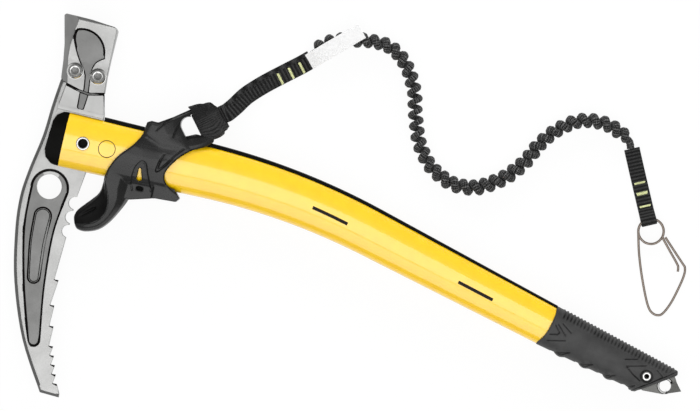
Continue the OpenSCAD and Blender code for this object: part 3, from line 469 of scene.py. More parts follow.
def softbox(name, spot, size, radiance, mirrored=True):
    """A flat lamp at (up the picture, above the floor) over the tool; size is along the picture and across."""
    lamp = bpy.data.lights.new(name, "AREA")
    lamp.shape, lamp.size, lamp.size_y = "RECTANGLE", *size
    lamp.energy = radiance * math.pi * lamp.size * lamp.size_y
    obj = bpy.data.objects.new(name, lamp)
    upwards = Vector((-math.sin(VIEW_TURN), math.cos(VIEW_TURN), 0))
    obj.location = VIEW_CENTRE + upwards * spot[0] + UP * spot[1]
    lean = math.atan2(spot[0], spot[1]) if spot[1] < LOW_LAMP else 0
    obj.rotation_euler = (-lean, 0, VIEW_TURN)
    obj.visible_glossy = mirrored
    bpy.context.scene.collection.objects.link(obj)


softbox("main_softbox", (-0.07, 2.4), (2.6, 0.86), 2.2)
softbox("lower_softbox", (-2.0, 2.4), (3.4, 2.8), 1.7)
softbox("upper_fill", (2.4, 0.9), (3.4, 1.2), 4.0, mirrored=False)

world = bpy.data.worlds.new("studio")
bpy.context.scene.world = world
world.use_nodes = True
sky = world.node_tree
rise = add(sky, "SeparateXYZ", add(sky, "TexCoord").outputs["Generated"])
glow = tones(sky, rise.outputs["Z"], (0.0, "#9a9a9a"), (1.0, "#c8c8c8"))
sky.links.new(glow.outputs[0], sky.nodes["Background"].inputs["Color"])
sky.nodes["Background"].inputs["Strength"].default_value = 0.8

floor_shape = bmesh.new()
bmesh.ops.create_grid(floor_shape, x_segments=1, y_segments=1, size=FLOOR_SIZE)
bmesh.ops.translate(floor_shape, vec=UP * FLOOR_Z, verts=floor_shape.verts)
floor = scratch(floor_shape)
floor.name = "floor"
paper = bpy.data.materials.new("white_paper")
paper.use_nodes = True
sheet = paper.node_tree
seen = add(sheet, "LightPath")
bright = maths(sheet, "MAXIMUM", seen.outputs["Is Camera Ray"], seen.outputs["Is Glossy Ray"])
bright = maths(sheet, "MAXIMUM", bright, seen.outputs["Is Transmission Ray"])
share = maths(sheet, "MULTIPLY", bright, FLOOR_GLOW)
fibre = noise(sheet, add(sheet, "TexCoord").outputs["Object"], 40, 2.0)
white = add(sheet, "BsdfDiffuse", tones(sheet, fibre, (0.0, "#f6f6f6"), (1.0, "#ffffff")))
lit = add(sheet, "Emission", (1, 1, 1, 1), 1.0)
shown = add(sheet, "MixShader", share, white, lit)
sheet.links.new(shown.outputs[0], sheet.nodes["Material Output"].inputs["Surface"])
floor.data.materials.append(paper)


# Shaft: a bent, tapering oval tube

SHAFT_X, SHAFT_Y = 2.8, 34.7
STRAIGHT = 100
BEND_R = 490
BEND = math.radians(14.6)
GRIP_S = 363
GRIP_LEN = 98
WALL = 1.6
# Width and thickness at the head, and how much each loses up to the grip
SHAFT_W, SHAFT_NARROWS = 39.3, 9.9
SHAFT_T, SHAFT_THINS = 22, 2
# Where the tube draws in under the grip, how far, and how far its end lies back from the grip's
SEAT_S, SEAT_DEPTH, TUBE_BACK = GRIP_S + 7, 3, 3.6
# Power of the oval: 2 is an ellipse
OVAL = 2.4
BLADE_HALF, DRILL_HALF = 3.05, 30
HEAD_BORE, SPIKE_BORE = 3.75, 2.05


def turn_at(s):
    return min(max(0, (s - STRAIGHT) / BEND_R), BEND)


def on_shaft(s, across, z):
    """Point at run s (mm) of the shaft's axis, moved across it and up."""
    a = turn_at(s)
    rest = max(0, s - STRAIGHT - BEND_R * BEND)
    x = SHAFT_X + min(s, STRAIGHT) + BEND_R * math.sin(a) + rest * math.cos(a)
    y = SHAFT_Y - BEND_R * (1 - math.cos(a)) - rest * math.sin(a)
    return mm(x + across * math.sin(a), y + across * math.cos(a), z)


def width_at(s):
    return SHAFT_W - SHAFT_NARROWS * s / GRIP_S


def thick_at(s):
    return SHAFT_T - SHAFT_THINS * s / GRIP_S


def oval(width, thick, a):
    c, s = math.cos(a), math.sin(a)
    return (width / 2 * math.copysign(abs(c) ** (2 / OVAL), c), thick / 2 * math.copysign(abs(s) ** (2 / OVAL), s))


def shaft_height(s, across, grow=0):
    """How high the shaft's upper face lies at that place across it."""
    w, t = width_at(s) / 2 + grow, thick_at(s) / 2 + grow
    return t * max(0, 1 - abs(across / w) ** OVAL) ** (1 / OVAL)


SLANT_TOP = (GRIP_LEN - 0.8, 11.2)
SLANT_BOTTOM = (GRIP_LEN - 19.2, -10.6)


def slant_at(across):
    """Where the grip's slanted end lies, along the grip."""
    lean = (SLANT_TOP[0] - SLANT_BOTTOM[0]) / (SLANT_TOP[1] - SLANT_BOTTOM[1])
    return SLANT_BOTTOM[0] + lean * (across - SLANT_BOTTOM[1])


def shaft_tube():
    """The tube as one skin: out along the outside, and back along the inside."""
    outside = [(s, 0) for s in range(0, SEAT_S + 1, 3)] + [(SEAT_S + 0.4, -SEAT_DEPTH)]
    end = (GRIP_S + GRIP_LEN - 12, -SEAT_DEPTH)
    skin = outside + [end]
    skin += [(s, grow - WALL) for s, grow in reversed(skin)] + [(0, 0)]
    columns = 72

    def place(row, column):
        s, grow = skin[row]
        a = math.tau * column / columns
        across, z = oval(width_at(s) + 2 * grow, thick_at(s) + 2 * grow, a)
        run = min(s, GRIP_S + slant_at(across) - TUBE_BACK)
        return on_shaft(run, across, z), (s * MM, width_at(s) * a / 2 * MM)

    return seal(grid(len(skin) - 1, columns, place))


HEAD_RIVET = mm(16.6, SHAFT_Y)
# The spike's rivet: along the grip and across it
RIVET_SEAT = (GRIP_LEN - 19.2, 0.8)
SPIKE_RIVET = on_shaft(GRIP_S + RIVET_SEAT[0], RIVET_SEAT[1], 0)


def drill(centre, radius):
    return spun([(0, -DRILL_HALF), (radius, -DRILL_HALF), (radius, DRILL_HALF), (0, DRILL_HALF)], centre)


def blade_slot():
    """Space that the blade takes through the shaft's end."""
    bm = bmesh.new()
    corners = route((-5, 70), (27.9, 70), (22.9, 15.6), (22.0, 5), (-5, 5))
    face = bm.faces.new([bm.verts.new(p - UP * BLADE_HALF * MM) for p in corners])
    raised = bmesh.ops.extrude_face_region(bm, geom=[face])
    bmesh.ops.translate(bm, vec=UP * 2 * BLADE_HALF * MM, verts=points_in(raised["geom"]))
    return seal(bm)


tube = cut(shaft_tube(), blade_slot(), drill(HEAD_RIVET, HEAD_BORE), drill(SPIKE_RIVET, SPIKE_BORE))
piece("shaft_lacquered", tube, YELLOW, "tool", ["shaft"])


# Printed marks on the shaft: two dashes and a plain ring

PRINT_LIFT = 0.06
DASH_W = 2.3
RING_S, RING_R, RING_W = 31, 5.9, 0.5
DASHES = {"upper": ((180.6, -0.8), (207.6, -1.5)), "lower": ((295, -1.8), (322, -1.8))}


def dash(start, end, width):
    """A thin printed bar that follows the shaft's face between two (run, across) points."""
    def place(row, column):
        s, off = Vector(start).lerp(Vector(end), row / 24)
        off += width * (column / 6 - 0.5)
        return on_shaft(s, off, shaft_height(s, off) + PRINT_LIFT), (s * MM, off * MM)
    return grid(24, 6, place)


def printed_ring(s, across, radius, width):
    def place(row, column):
        a = math.tau * row / 64
        r = radius + width * (column / 2 - 0.5)
        run, off = s + r * math.cos(a), across + r * math.sin(a)
        return on_shaft(run, off, shaft_height(run, off) + PRINT_LIFT), (run * MM, off * MM)
    bm = grid(64, 2, place)
    weld(bm)
    return bm


for name, (start, end) in DASHES.items():
    piece("printed_dash_" + name, dash(start, end, DASH_W), INK, "tool")
piece("printed_ring", printed_ring(RING_S, 0, RING_R, RING_W), INK, "tool")


# Strip along the back

STRIP_START, STRIP_END = 24.4, GRIP_S + 1.6
STRIP_HALF, STRIP_H, STRIP_H_GRIP = 4.5, 2.2, 1.1


def back_strip():
    rows = 120
    top = [STRIP_HALF * math.cos(math.pi * k / 12) for k in range(13)]

    def place(row, column):
        s = STRIP_START + (STRIP_END - STRIP_START) * row / rows
        column %= 26
        z = top[column] if column < 13 else top[25 - column]
        base = width_at(s) / 2 * (1 - abs(2 * z / thick_at(s)) ** OVAL) ** (1 / OVAL) + 0.05
        height = STRIP_H + (STRIP_H_GRIP - STRIP_H) * max(0, s - STRAIGHT) / (GRIP_S - STRAIGHT)
        crown = width_at(s) / 2 + height * (0.45 + 0.55 * math.sqrt(max(0, 1 - (z / STRIP_HALF) ** 2)))
        return on_shaft(s, crown if column < 13 else base, z), (s * MM, column * 0.8 * MM)

    return seal(grid(rows, 26, place))


piece("back_strip_moulded", back_strip(), BLACK_PLASTIC, "tool", ["back_strip"])


# Forged and moulded pieces that keep their CAD shape, with softened edges

# Outline of the hammer's fan: its left side, the arc on top, and its right side
FAN_LEFT = curve([(9.4, 66), (8.2, 78), (6.6, 83.5), (-0.1, 93.4), (-5, 103.5), (-5.6, 109)], 6)
FAN_TURNS = [math.radians(a) for a in range(112, 2, -7)]
FAN_RIGHT = curve([(17.4, 96), (14.9, 94.3), (11.8, 91), (10.5, 84), (12.1, 66)], 6)
FAN = ([tuple(p) for p in FAN_LEFT] + [(1.2 + 15.9 * math.cos(a), 96.8 + 15.9 * math.sin(a)) for a in FAN_TURNS]
       + [tuple(p) for p in FAN_RIGHT])
# Groove in the blade's shoulder: its line, where it starts, half its width, how that flares, and its floor's limit
GROOVE, GROOVE_FROM = [(9.1, 59.3), (9.3, 72)], 56
GROOVE_HALF, GROOVE_FLARE, GROOVE_TOP = 2.8, 0.08, 4.3
# Where the tail under the hammer begins, and where it is parted from the groove's floor
TAIL_FROM, TAIL_Y = 66, 70.2
# The blade's sunk panel: x, y and half width; and its floor's limit
PANEL = [(0.6, -1, 13.4), (-0.6, -30, 11), (4.8, -69, 7.7), (13.4, -107, 4.6)]
PANEL_TOP = 2.5
EYE_R, EYE_RIM = 8.7, 1.2
NOTCHES = [(18, -62.5), (19.1, -80.5), (21.8, -94.9)] + [(24.7 + 2.1 * k, -108.6 - 6.25 * k) for k in range(5)]
TOOTH = 3
FAN_EDGE = 1.1
# Lower edge of the hammer, a shallow V
HAMMER_V = [(-8.6, 74.4), (6, 70.6), (12.3, 69.8), (23.2, 72.2)]
HAMMER_HALF, SPIKE_HALF = 6.5, 2.6
BLADE_TOP, SHOULDER_TOP, SHOULDER_LOW = 3, 5.5, 57.4
SHOULDER_FOOT = mm(-6.4, 54.5), mm(26.4, SHOULDER_LOW + 0.1)
# The spine's slope: how upright its normals are, the height where the narrow ground edge begins, and what the rest
# is raised to
SLOPE_LEVEL = 0.88, 0.95
SPINE_BREAK, SPINE_FLAT = 1.95, 2.9
# Finishes by number, for the faces of the forged pieces: ground steel, skin steel that also stands for painted shade on
# steep slopes, and painted shade
GROUND, SKIN_AND_SHADE, SHADED = 0, 1, 2
# A face counts as level when its normal is at least so upright
LEVEL = 0.97
# Widths of the rounded edges
NOTCH_CHAMFER, GROOVE_ROUND, BLADE_ROUND = 1.1, 0.6, 0.3
FAN_ROUND, HAMMER_ROUND, PLUG_ROUND = 0.8, 0.45, 0.5


def off_run(x, y, a, b):
    """How far a point lies from a straight run, and the share of the run at its nearest place."""
    dx, dy = b[0] - a[0], b[1] - a[1]
    t = max(0, min(1, ((x - a[0]) * dx + (y - a[1]) * dy) / (dx * dx + dy * dy)))
    return math.hypot(x - a[0] - t * dx, y - a[1] - t * dy), t


def line_distance(x, y, line):
    """How far a point lies from a broken line."""
    return min(off_run(x, y, a, b)[0] for a, b in zip(line, line[1:]))


def inside(x, y, outline):
    """Whether a point lies inside a closed outline, seen from above."""
    odd = False
    for (ax, ay), (bx, by) in zip(outline, outline[1:] + outline[:1]):
        if (ay > y) != (by > y) and x < ax + (bx - ax) * (y - ay) / (by - ay):
            odd = not odd
    return odd


def in_panel(x, y, spare):
    """Whether a point lies in the sunk panel, or within spare of it."""
    for a, b in zip(PANEL, PANEL[1:]):
        away, t = off_run(x, y, a, b)
        if away < a[2] + (b[2] - a[2]) * t + spare:
            return True
    return False


def blade_finish(face):
    """Ground flats and forging skin in the panel and in the groove; painted shade on walls, gaps and notch chamfers,
    and the darker skin steel on steep slopes as painted shade.
    """
    x, y, z = face.calc_center_median() / MM
    level = abs(face.normal.z)
    half = GROOVE_HALF + max(0, y - GROOVE[0][1]) * GROOVE_FLARE
    if GROOVE_FROM < y < TAIL_Y and line_distance(x, y, GROOVE) < half:
        return SHADED if level < LEVEL else SKIN_AND_SHADE if abs(z) < GROOVE_TOP else GROUND
    # The gap under the hammer and the tail below it get painted shade
    if y > TAIL_FROM and x > -4 - max(0, y - 71):
        return SHADED if abs(z) < 3.2 or level < LEVEL else GROUND
    if in_panel(x, y, 0.3) and math.hypot(x, y) > EYE_R + EYE_RIM:
        return (SKIN_AND_SHADE if abs(z) < PANEL_TOP else GROUND) if level > 0.985 else SHADED
    if any(abs(x - a - TOOTH / 2) < 1.8 and abs(y - b) < 1.4 for a, b in NOTCHES):
        return SHADED if level < LEVEL else GROUND
    # Steep slopes, such as the spine's narrow edge and the rounded edges, get the darker skin steel as painted shade
    return SKIN_AND_SHADE if 0.5 < level < SLOPE_LEVEL[0] else GROUND


def hammer_finish(face):
    """Ground faces, forging skin in the fan, and painted shade as a dark outline round it and in the gap below."""
    x, y, z = face.calc_center_median() / MM
    outline = face.calc_area() < 4 * MM ** 2 and line_distance(x, y, FAN) < FAN_EDGE
    if outline or (abs(face.normal.z) < LEVEL and line_distance(x, y, HAMMER_V) < 1):
        return SHADED
    return SKIN_AND_SHADE if inside(x, y, FAN) else GROUND


def notch_edge(edge):
    """An upper or lower edge along the top of a tooth's notch."""
    spot = middle(edge)
    along = (edge.verts[0].co - edge.verts[1].co) / MM
    return abs(abs(spot.z) - BLADE_TOP) < 0.2 and abs(along.y) < 0.6 and any(
        abs(spot.x - x - TOOTH / 2) < 1.5 and abs(spot.y - y) < 0.8 for x, y in NOTCHES)


def shoulder_foot():
    """The shoulder's last run down to the shaft, rounded at its low edge."""
    low, high = SHOULDER_FOOT
    bm = block((high.x - low.x, high.y - low.y, 2 * SHOULDER_TOP * MM), (low + high) / 2)
    return softened(bm, 0.4, lambda edge: all(v.co.y < low.y + WELD for v in edge.verts))


def plain_edge(edge):
    """An edge that gets the blade's fine rounding: all but slivers and the shoulder's edge over its foot."""
    return edge.calc_length() > 0.3 * MM and not all(
        abs(v.co.y / MM - SHOULDER_LOW) < 0.1 and abs(v.co.z) > BLADE_TOP * MM for v in edge.verts)


def groove_edge(edge):
    """An edge along the shoulder's groove."""
    spot = middle(edge)
    return SHOULDER_LOW + 0.3 < spot.y < 69 and abs(spot.z) > 4.5 and line_distance(spot.x, spot.y, GROOVE) < 3.6


def ground_spine(bm):
    """Splits the spine's wide slope: a narrow steep edge outside, and a nearly level run inside."""
    low, high = SLOPE_LEVEL
    slope = {f for f in bm.faces if low < abs(f.normal.z) < high and abs(f.calc_center_median().z) < BLADE_TOP * MM}
    shares = {}
    for edge in {e for f in slope for e in f.edges}:
        a, b = (abs(v.co.z) / MM for v in edge.verts)
        if min(a, b) < SPINE_BREAK - 0.3 and max(a, b) > SPINE_BREAK + 0.3:
            shares[edge] = (SPINE_BREAK - a) / (b - a)
    breaks = points_in(bmesh.ops.bisect_edges(bm, edges=list(shares), cuts=1, edge_percents=shares)["geom_split"])
    bmesh.ops.connect_verts(bm, verts=breaks)
    for vert in breaks:
        vert.co.z = math.copysign(SPINE_FLAT * MM, vert.co.z)
    bm.normal_update()


def dressed_blade():
    """The blade with a chamfer in each notch, a narrow ground edge on its spine, and its tail parted off."""
    bm = softened(cad_copy("head_blade"), NOTCH_CHAMFER, notch_edge, 1)
    whole = bm.verts[:] + bm.edges[:] + bm.faces[:]
    bmesh.ops.bisect_plane(bm, geom=whole, plane_co=mm(0, TAIL_Y), plane_no=(0, 1, 0))
    ground_spine(bm)
    softened(bm, GROOVE_ROUND, groove_edge)
    return softened(bm, BLADE_ROUND, lambda edge: plain_edge(edge) and not groove_edge(edge))


def fan_edge(edge):
    spot = middle(edge)
    return abs(spot.z) > 4 and line_distance(spot.x, spot.y, FAN) < FAN_EDGE


def dressed_hammer():
    """The hammer with a wide rounded edge on its fan and a narrow one elsewhere."""
    top = (HAMMER_HALF - 0.3) * MM
    bm = softened(cad_copy("hammer"), FAN_ROUND, lambda edge: fan_edge(edge) and abs(edge.verts[0].co.z) > top)
    return softened(bm, HAMMER_ROUND, lambda edge: not fan_edge(edge))


def spike_finish(face):
    """The eye's raised rim is lighter steel on top, with painted shade on its edges."""
    if abs(face.calc_center_median().z) < SPIKE_HALF * MM:
        return SKIN_AND_SHADE
    return GROUND if abs(face.normal.z) > LEVEL else SHADED


piece("head_blade_finished", dressed_blade(), BLADE_STEEL, "tool", ["head_blade"], 20,
      (SKIN_AND_SHADE_STEEL, SHADE_STEEL), blade_finish)
piece("hammer_finished", dressed_hammer(), HAMMER_STEEL, "tool", ["hammer"], 35,
      (SKIN_AND_SHADE_STEEL, SHADE_STEEL), hammer_finish)
piece("head_blade_foot", shoulder_foot(), BLADE_STEEL, "tool")
piece("spike_finished", softened(cad_copy("spike"), BLADE_ROUND), HAMMER_STEEL, "tool", ["spike"], 35,
      (SPIKE_STEEL, SHADE_STEEL), spike_finish)
for node in ("end_plug_near", "end_plug_far"):
    piece(node + "_finished", softened(cad_copy(node), PLUG_ROUND), BLACK_PLASTIC, "tool", [node], 50)
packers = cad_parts["spike_packers"].data.materials
packers.clear()
packers.append(BLACK_PLASTIC)


# Fasteners: turned shapes

BOLTS = route((-0.3, 83), (16.1, 82.6))
HEAD_R, HEAD_H, SOCKET_R, SOCKET_HEX = 5.9, 3.2, 2.6, 0.88
HEAD_RIM = [(HEAD_R - 0.2, 0), (HEAD_R, 0.3)]
SHANK_R, SHANK_END, NUT_R = 3, -2 * HAMMER_HALF - 2, 3.05
RIVET_DEPTH = 6
# Rivets: centre, radii of hole and flange, and the thickness that they hold
RIVETS = {"head_rivet": (HEAD_RIVET, 3.1, 4.8, thick_at(9)), "spike_rivet": (SPIKE_RIVET, 1.4, 3.2, 25)}


def dome_profile(points=10):
    """Rim to crown of a domed head, in mm above its seat."""
    crown = (HEAD_R ** 2 + HEAD_H ** 2) / (2 * HEAD_H)
    wide = math.asin(HEAD_R / crown)
    return [(crown * math.sin(wide * k / points), crown * math.cos(wide * k / points) - crown + HEAD_H)
            for k in range(points, -1, -1)]


def socket_bolt(centre):
    """A domed bolt with a ringed hexagon socket, and its shank."""
    dome = [(r, z) for r, z in dome_profile(16) if r > SOCKET_R + 1.1]
    lip = HEAD_H - 0.25
    shank = [(0, SHANK_END), (SHANK_R, SHANK_END), (SHANK_R, 0)]
    ring = [(SOCKET_R + out, lip + up) for out, up in ((1.0, 0), (0.8, 0.15), (0.35, 0.1), (0, -0.3), (0, -1.7))]
    bm = spun(shank + HEAD_RIM + dome[1:] + ring + [(0, lip - 2.3)], centre + UP * HAMMER_HALF * MM)
    floor_of = centre.z + (HAMMER_HALF + lip - 0.2) * MM
    for vert in bm.verts:
        out = vert.co - centre
        if vert.co.z < floor_of and out.xy.length < (SOCKET_R + 0.1) * MM and vert.co.z > (HAMMER_HALF + 0.5) * MM:
            six = math.pi / 3
            a = math.atan2(out.y, out.x) % six - six / 2
            vert.co.xy = centre.xy + out.xy * (SOCKET_HEX / math.cos(a))
    return bm


def cap_nut(centre):
    profile = [(NUT_R, 2), (NUT_R, 0)] + HEAD_RIM + dome_profile()[1:]
    return spun([(r, -z) for r, z in profile], centre - UP * HAMMER_HALF * MM)


def rivet(centre, hole, flange, grip):
    """A semi-tubular rivet: a rolled lip and a blind hole on each side."""
    half, roll = grip / 2, (flange - hole) / 2
    lip = [(flange - roll + roll * math.cos(a), half + roll * 0.75 * math.sin(a))
           for a in (math.pi * k / 10 for k in range(11))]
    upper = [(hole + 0.6, half - 0.01)] + lip + [(hole, half - RIVET_DEPTH), (0, half - RIVET_DEPTH)]
    return spun([(r, -z) for r, z in reversed(upper)] + upper, centre)


def joined(parts):
    """Several bmeshes as one."""
    mesh = bpy.data.meshes.new("scratch")
    whole = bmesh.new()
    for part in parts:
        part.to_mesh(mesh)
        whole.from_mesh(mesh)
        part.free()
    return whole


def near_axis(face, centres, radius):
    """Whether a face lies within a radius of one of the upright axes."""
    return int(min((face.calc_center_median() - p).xy.length for p in centres) < radius * MM)


# The sockets get the darker skin steel: painted shade
piece("bolts_polished", joined([socket_bolt(p) for p in BOLTS]), FASTENER_STEEL, "tool", ["hammer_bolts"],
      others=[SKIN_AND_SHADE_STEEL], pick=lambda face: near_axis(face, BOLTS, SOCKET_R))
piece("nuts_polished", joined([cap_nut(p) for p in BOLTS]), FASTENER_STEEL, "tool", ["hammer_nuts"])
# The rivets' blind holes get the near-black steel: painted shade
for name, (centre, hole, flange, grip) in RIVETS.items():
    piece(name + "_rolled", rivet(centre, hole, flange, grip), FASTENER_STEEL, "tool", [name],
          others=[SHADE_STEEL], pick=lambda face: near_axis(face, [centre], hole))


# Trigger: the CAD moulding with every edge rounded as a mould rounds it

def rounded_moulding(node, voxel, passes):
    solid = scratch(cad_copy(node))
    skin = solid.modifiers.new("skin", "REMESH")
    skin.mode, skin.voxel_size = "VOXEL", voxel
    bm = settled(solid)
    for _ in range(passes):
        bmesh.ops.smooth_vert(bm, verts=bm.verts, factor=0.5, use_axis_x=True, use_axis_y=True, use_axis_z=True)
    return bm


# Creases and lips of the moulding, seen from above, and half their widths; they are darkened as painted shade
CHEEK_LEFT = [(56.4, 53), (51.7, 42.6), (42.6, 31.9), (37.3, 20.2), (36.3, 12)]
CHEEK_RIGHT = [(88, 15.6), (79.9, 20), (77.2, 26.5), (79.6, 33), (85.5, 41.2), (94, 48.8)]
WEB = [(57, 11), (55.6, 15.2), (55.4, 21.7), (56.3, 26.9), (58.6, 31.1), (60.5, 32), (63, 30.1), (65.2, 24), (67.9, 18),
       (70, 13)]
HOOK_CREASE = [(36.2, 14), (39.8, 7.4), (42.6, -0.2), (42.9, -8), (39.8, -14.1), (33.1, -18.9), (23.5, -20.5)]
HOOK_TIP = [(21.5, -17.6), (20, -13), (27, -4), (34, 4)]
ARM_LEFT = [(64.6, 55.2), (69.6, 62.1), (75, 67.5), (80.7, 71.3)]
ARM_RIGHT = [(77.1, 53.1), (78.2, 59.1), (80.4, 65.4)]
V_LINE = [(73.8, 40.4), (71.9, 34.6), (71.1, 27.4), (76.3, 33.1), (81.1, 40.8), (86.3, 47)]
CREASES = [(CHEEK_LEFT, 1.0), (CHEEK_RIGHT, 1.0), (WEB, 0.7), (HOOK_CREASE, 0.7), (V_LINE, 0.8), (ARM_LEFT, 0.6),
           (ARM_RIGHT, 0.6)]
CREASE_SINK = 0.45
VOXEL, ROUND_PASSES = 0.5, 3
# Where the ring's arms flow into the body, and how far round that line
ARM_ROOT = [(54, 52), (62, 47.5), (72, 45), (84, 46), (97, 53)]
ARM_REACH, ARM_PASSES = 9, 70
# Size and centre of the dark web in the slot
SLOT_WEB = mm(5.4, 3.2, 7), mm(62, 13)


def blended(bm, line, reach, passes):
    """Lets the faces near a line flow into one another."""
    near = [v for v in bm.verts if line_distance(v.co.x / MM, v.co.y / MM, line) < reach]
    for _ in range(passes):
        bmesh.ops.smooth_vert(bm, verts=near, factor=0.5, use_axis_x=False, use_axis_y=False, use_axis_z=True)
    return bm


def finger_rest(face):
    """Whether a face lies in the hook's hollow for the finger."""
    spot = face.calc_center_median() / MM
    return int(abs(face.normal.z) > 0.2 and inside(spot.x, spot.y, HOOK_CREASE + HOOK_TIP))


def creased(bm, creases):
    """Sinks the faces along the creases, and notes how deep, which darkens them as painted shade."""
    hollow = bm.verts.layers.float.new("hollow")
    bm.normal_update()
    smooth = [([tuple(p) for p in curve(line, 6)], half) for line, half in creases]
    for vert in bm.verts:
        if abs(vert.normal.z) > 0.3:
            x, y = vert.co.x / MM, vert.co.y / MM
            vert[hollow] = max(1 - ease(line_distance(x, y, line) / half) for line, half in smooth)
            vert.co -= vert.normal * vert[hollow] * CREASE_SINK * MM
    return bm


moulding = blended(rounded_moulding("trigger", VOXEL * MM, ROUND_PASSES), ARM_ROOT, ARM_REACH, ARM_PASSES)
# The finger rest gets the darker copy of the rubber: painted shade
piece("trigger_moulded", creased(moulding, CREASES), TRIGGER_RUBBER, "trigger", ["trigger"], 180,
      [REST_RUBBER_SHADED], finger_rest)
piece("trigger_slot_web", softened(block(*SLOT_WEB), 0.2), BLACK_PLASTIC, "trigger")

# Lower arm of the leash ring: a rounded lobe over the shaft's edge, whose inner side falls away into the ring
LOBE_ROUTE = route((87.5, 48.6, 10.6), (91, 50.2, 9.8), (95, 52.2, 8.9), (99, 54.6, 7.6), (102, 57.2, 6),
                   (103.6, 59.6, 4.6))
LOBE_OUT, LOBE_IN, LOBE_TIP, LOBE_H, LOBE_FALL = 3.2, 7.5, 3, 1.8, 5.5
lobe_line = smooth_line(LOBE_ROUTE, 10)


def lobe_section(run):
    """The lobe across its length: narrow towards the shaft, wide and falling towards the ring, round at its tip."""
    t = min(1, run * MM / run_lengths(lobe_line)[-1])
    wide = LOBE_IN - (LOBE_IN - LOBE_TIP) * ease((t - 0.45) / 0.5)
    tip = math.sqrt(1 - (max(0, t - 0.85) / 0.151) ** 2)
    high = LOBE_H * tip * (0.5 + 0.5 * ease(t / 0.2))
    section = []
    for k in range(28):
        x, z = math.cos(math.tau * k / 28), math.sin(math.tau * k / 28)
        x *= wide if x > 0 else LOBE_OUT
        section.append((x * tip, high * z - LOBE_FALL * max(0, x / LOBE_IN) ** 2))
    return section


piece("trigger_ring_lobe", sweep(lobe_line, lobe_section), TRIGGER_RUBBER, "trigger",
      sharp=60)


# Grip: ribbed rubber moulded round the shaft

GRIP_THICK, GRIP_PROUD = 25, 0.8
# Share of the width on the fingers' side, and how much of it is lost along the grip
FINGER_SIDE, FINGER_LEAN = 0.97, 0.18
# Runs over which the rubber rounds off at its collar and its end, and how far it falls there
COLLAR_ROUND, END_ROUND, ROUND_DROP = 1.6, 0.9, 1.1
RIB_PITCH, RIB_H, RIB_START = 2.7, 0.9, 6
KNOB_PITCH, KNOBS, FIRST_KNOB, KNOB_H = 18.6, 4, 18.4, 1.3
COLLAR = curve([(0, 18), (2.4, 11), (3, 1.4), (2.2, -8), (-1.5, -18)], 8)
# Engraved lines on each side: along the grip and across it, in mm
GRIP_LINES = [
    [(5.3, -4.6), (10.1, -2.3), (11, -0.4), (6.1, 3.1)], [(5.7, -9.5), (17, -3.7)], [(15.7, -0.5), (7.6, 4.5)],
    [(18.4, 3), (10.3, 6.3)], [(59.9, 4.5), (67.8, 8.6)], [(75.3, 7.3), (63, 0.5), (69.8, -2.6), (76.2, -4.4)],
    [(83.5, 8), (89.3, 5.5), (83.3, -2.4)]]
# Crescents under the knobs: left and right ends
CRESCENTS = [((11.7, -14.2), (23.7, -9.6)), ((30.6, -13.5), (41.7, -9.6)), ((48.2, -12.8), (59.3, -8.9)),
             ((66.7, -12), (74.5, -9.2))]
for left, right in CRESCENTS:
    for along, down in ((0.2, -1.2), (1.4, -2.2)):
        GRIP_LINES.append([left, ((left[0] + right[0]) / 2 + along, (left[1] + right[1]) / 2 + down), right])
LINE_HALF, LINE_DEPTH = 0.62, 0.6
LIP_BACK = 2.6
SEAT_R, SEAT_HALF = 4, 1.1
NOSE, NOSE_R = (95.2, 12.9), 2.6
BORE_S = GRIP_S + 40


def collar_at(across):
    for a, b in zip(COLLAR, COLLAR[1:]):
        if b.y <= across <= a.y:
            return b.x + (a.x - b.x) * (across - b.y) / (a.y - b.y)
    return COLLAR[0].x if across > 0 else COLLAR[-1].x


def end_at(across):
    """Where the rubber ends along the grip: its slanted end, round at the nose."""
    if across < NOSE[1] - NOSE_R * 0.645:
        return slant_at(across)
    return NOSE[0] + math.sqrt(max(0, NOSE_R ** 2 - (across - NOSE[1]) ** 2))


def engraving(x, y):
    """Depth of the side's engraved lines at a point, from 0 to 1."""
    depth = max(1 - ease(line_distance(x, y, line) / LINE_HALF) for line in GRIP_LINES)
    seat = abs(math.hypot(x - RIVET_SEAT[0], y - RIVET_SEAT[1]) - SEAT_R)
    return max(depth, 1 - ease(abs(slant_at(y) - LIP_BACK - x) / LINE_HALF), 1 - ease(seat / SEAT_HALF))


def grip_relief(x, y, c):
    """How far the ribs and knobs stand out at a place on the grip, and how deep its grooves lie, from 0 to 1; the
    groove depth darkens the rubber as painted shade.
    """
    rib = 0.5 - 0.5 * math.cos(math.tau * (x - RIB_START) / RIB_PITCH)
    ribbed_here = ease((c - 0.5) / 0.16) * ease((x - RIB_START) / 2) * ease((slant_at(y) - LIP_BACK - 1 - x) / 2)
    k = round((x - FIRST_KNOB) / KNOB_PITCH)
    knob = 0
    if 0 <= k < KNOBS:
        near = math.cos(math.tau * (x - FIRST_KNOB - k * KNOB_PITCH) / KNOB_PITCH)
        knob = KNOB_H * max(0, near) ** 1.5 * ease((-c - 0.55) / 0.35)
    line = engraving(x, y + knob * c) if c < 0.96 else 0
    relief = RIB_H * (rib ** 0.8 - 0.35) * ribbed_here + knob - line * LINE_DEPTH
    return relief, max(line, (1 - rib) ** 2 * ribbed_here * 0.7)


def grip_outside(x, a):
    """A place across the plain rubber and up, with a leaner side for the fingers."""
    across, z = oval(width_at(GRIP_S + x) + 2 * GRIP_PROUD, GRIP_THICK, a)
    return across * (1 if across > 0 else FINGER_SIDE - FINGER_LEAN * max(0, x) / GRIP_LEN), z


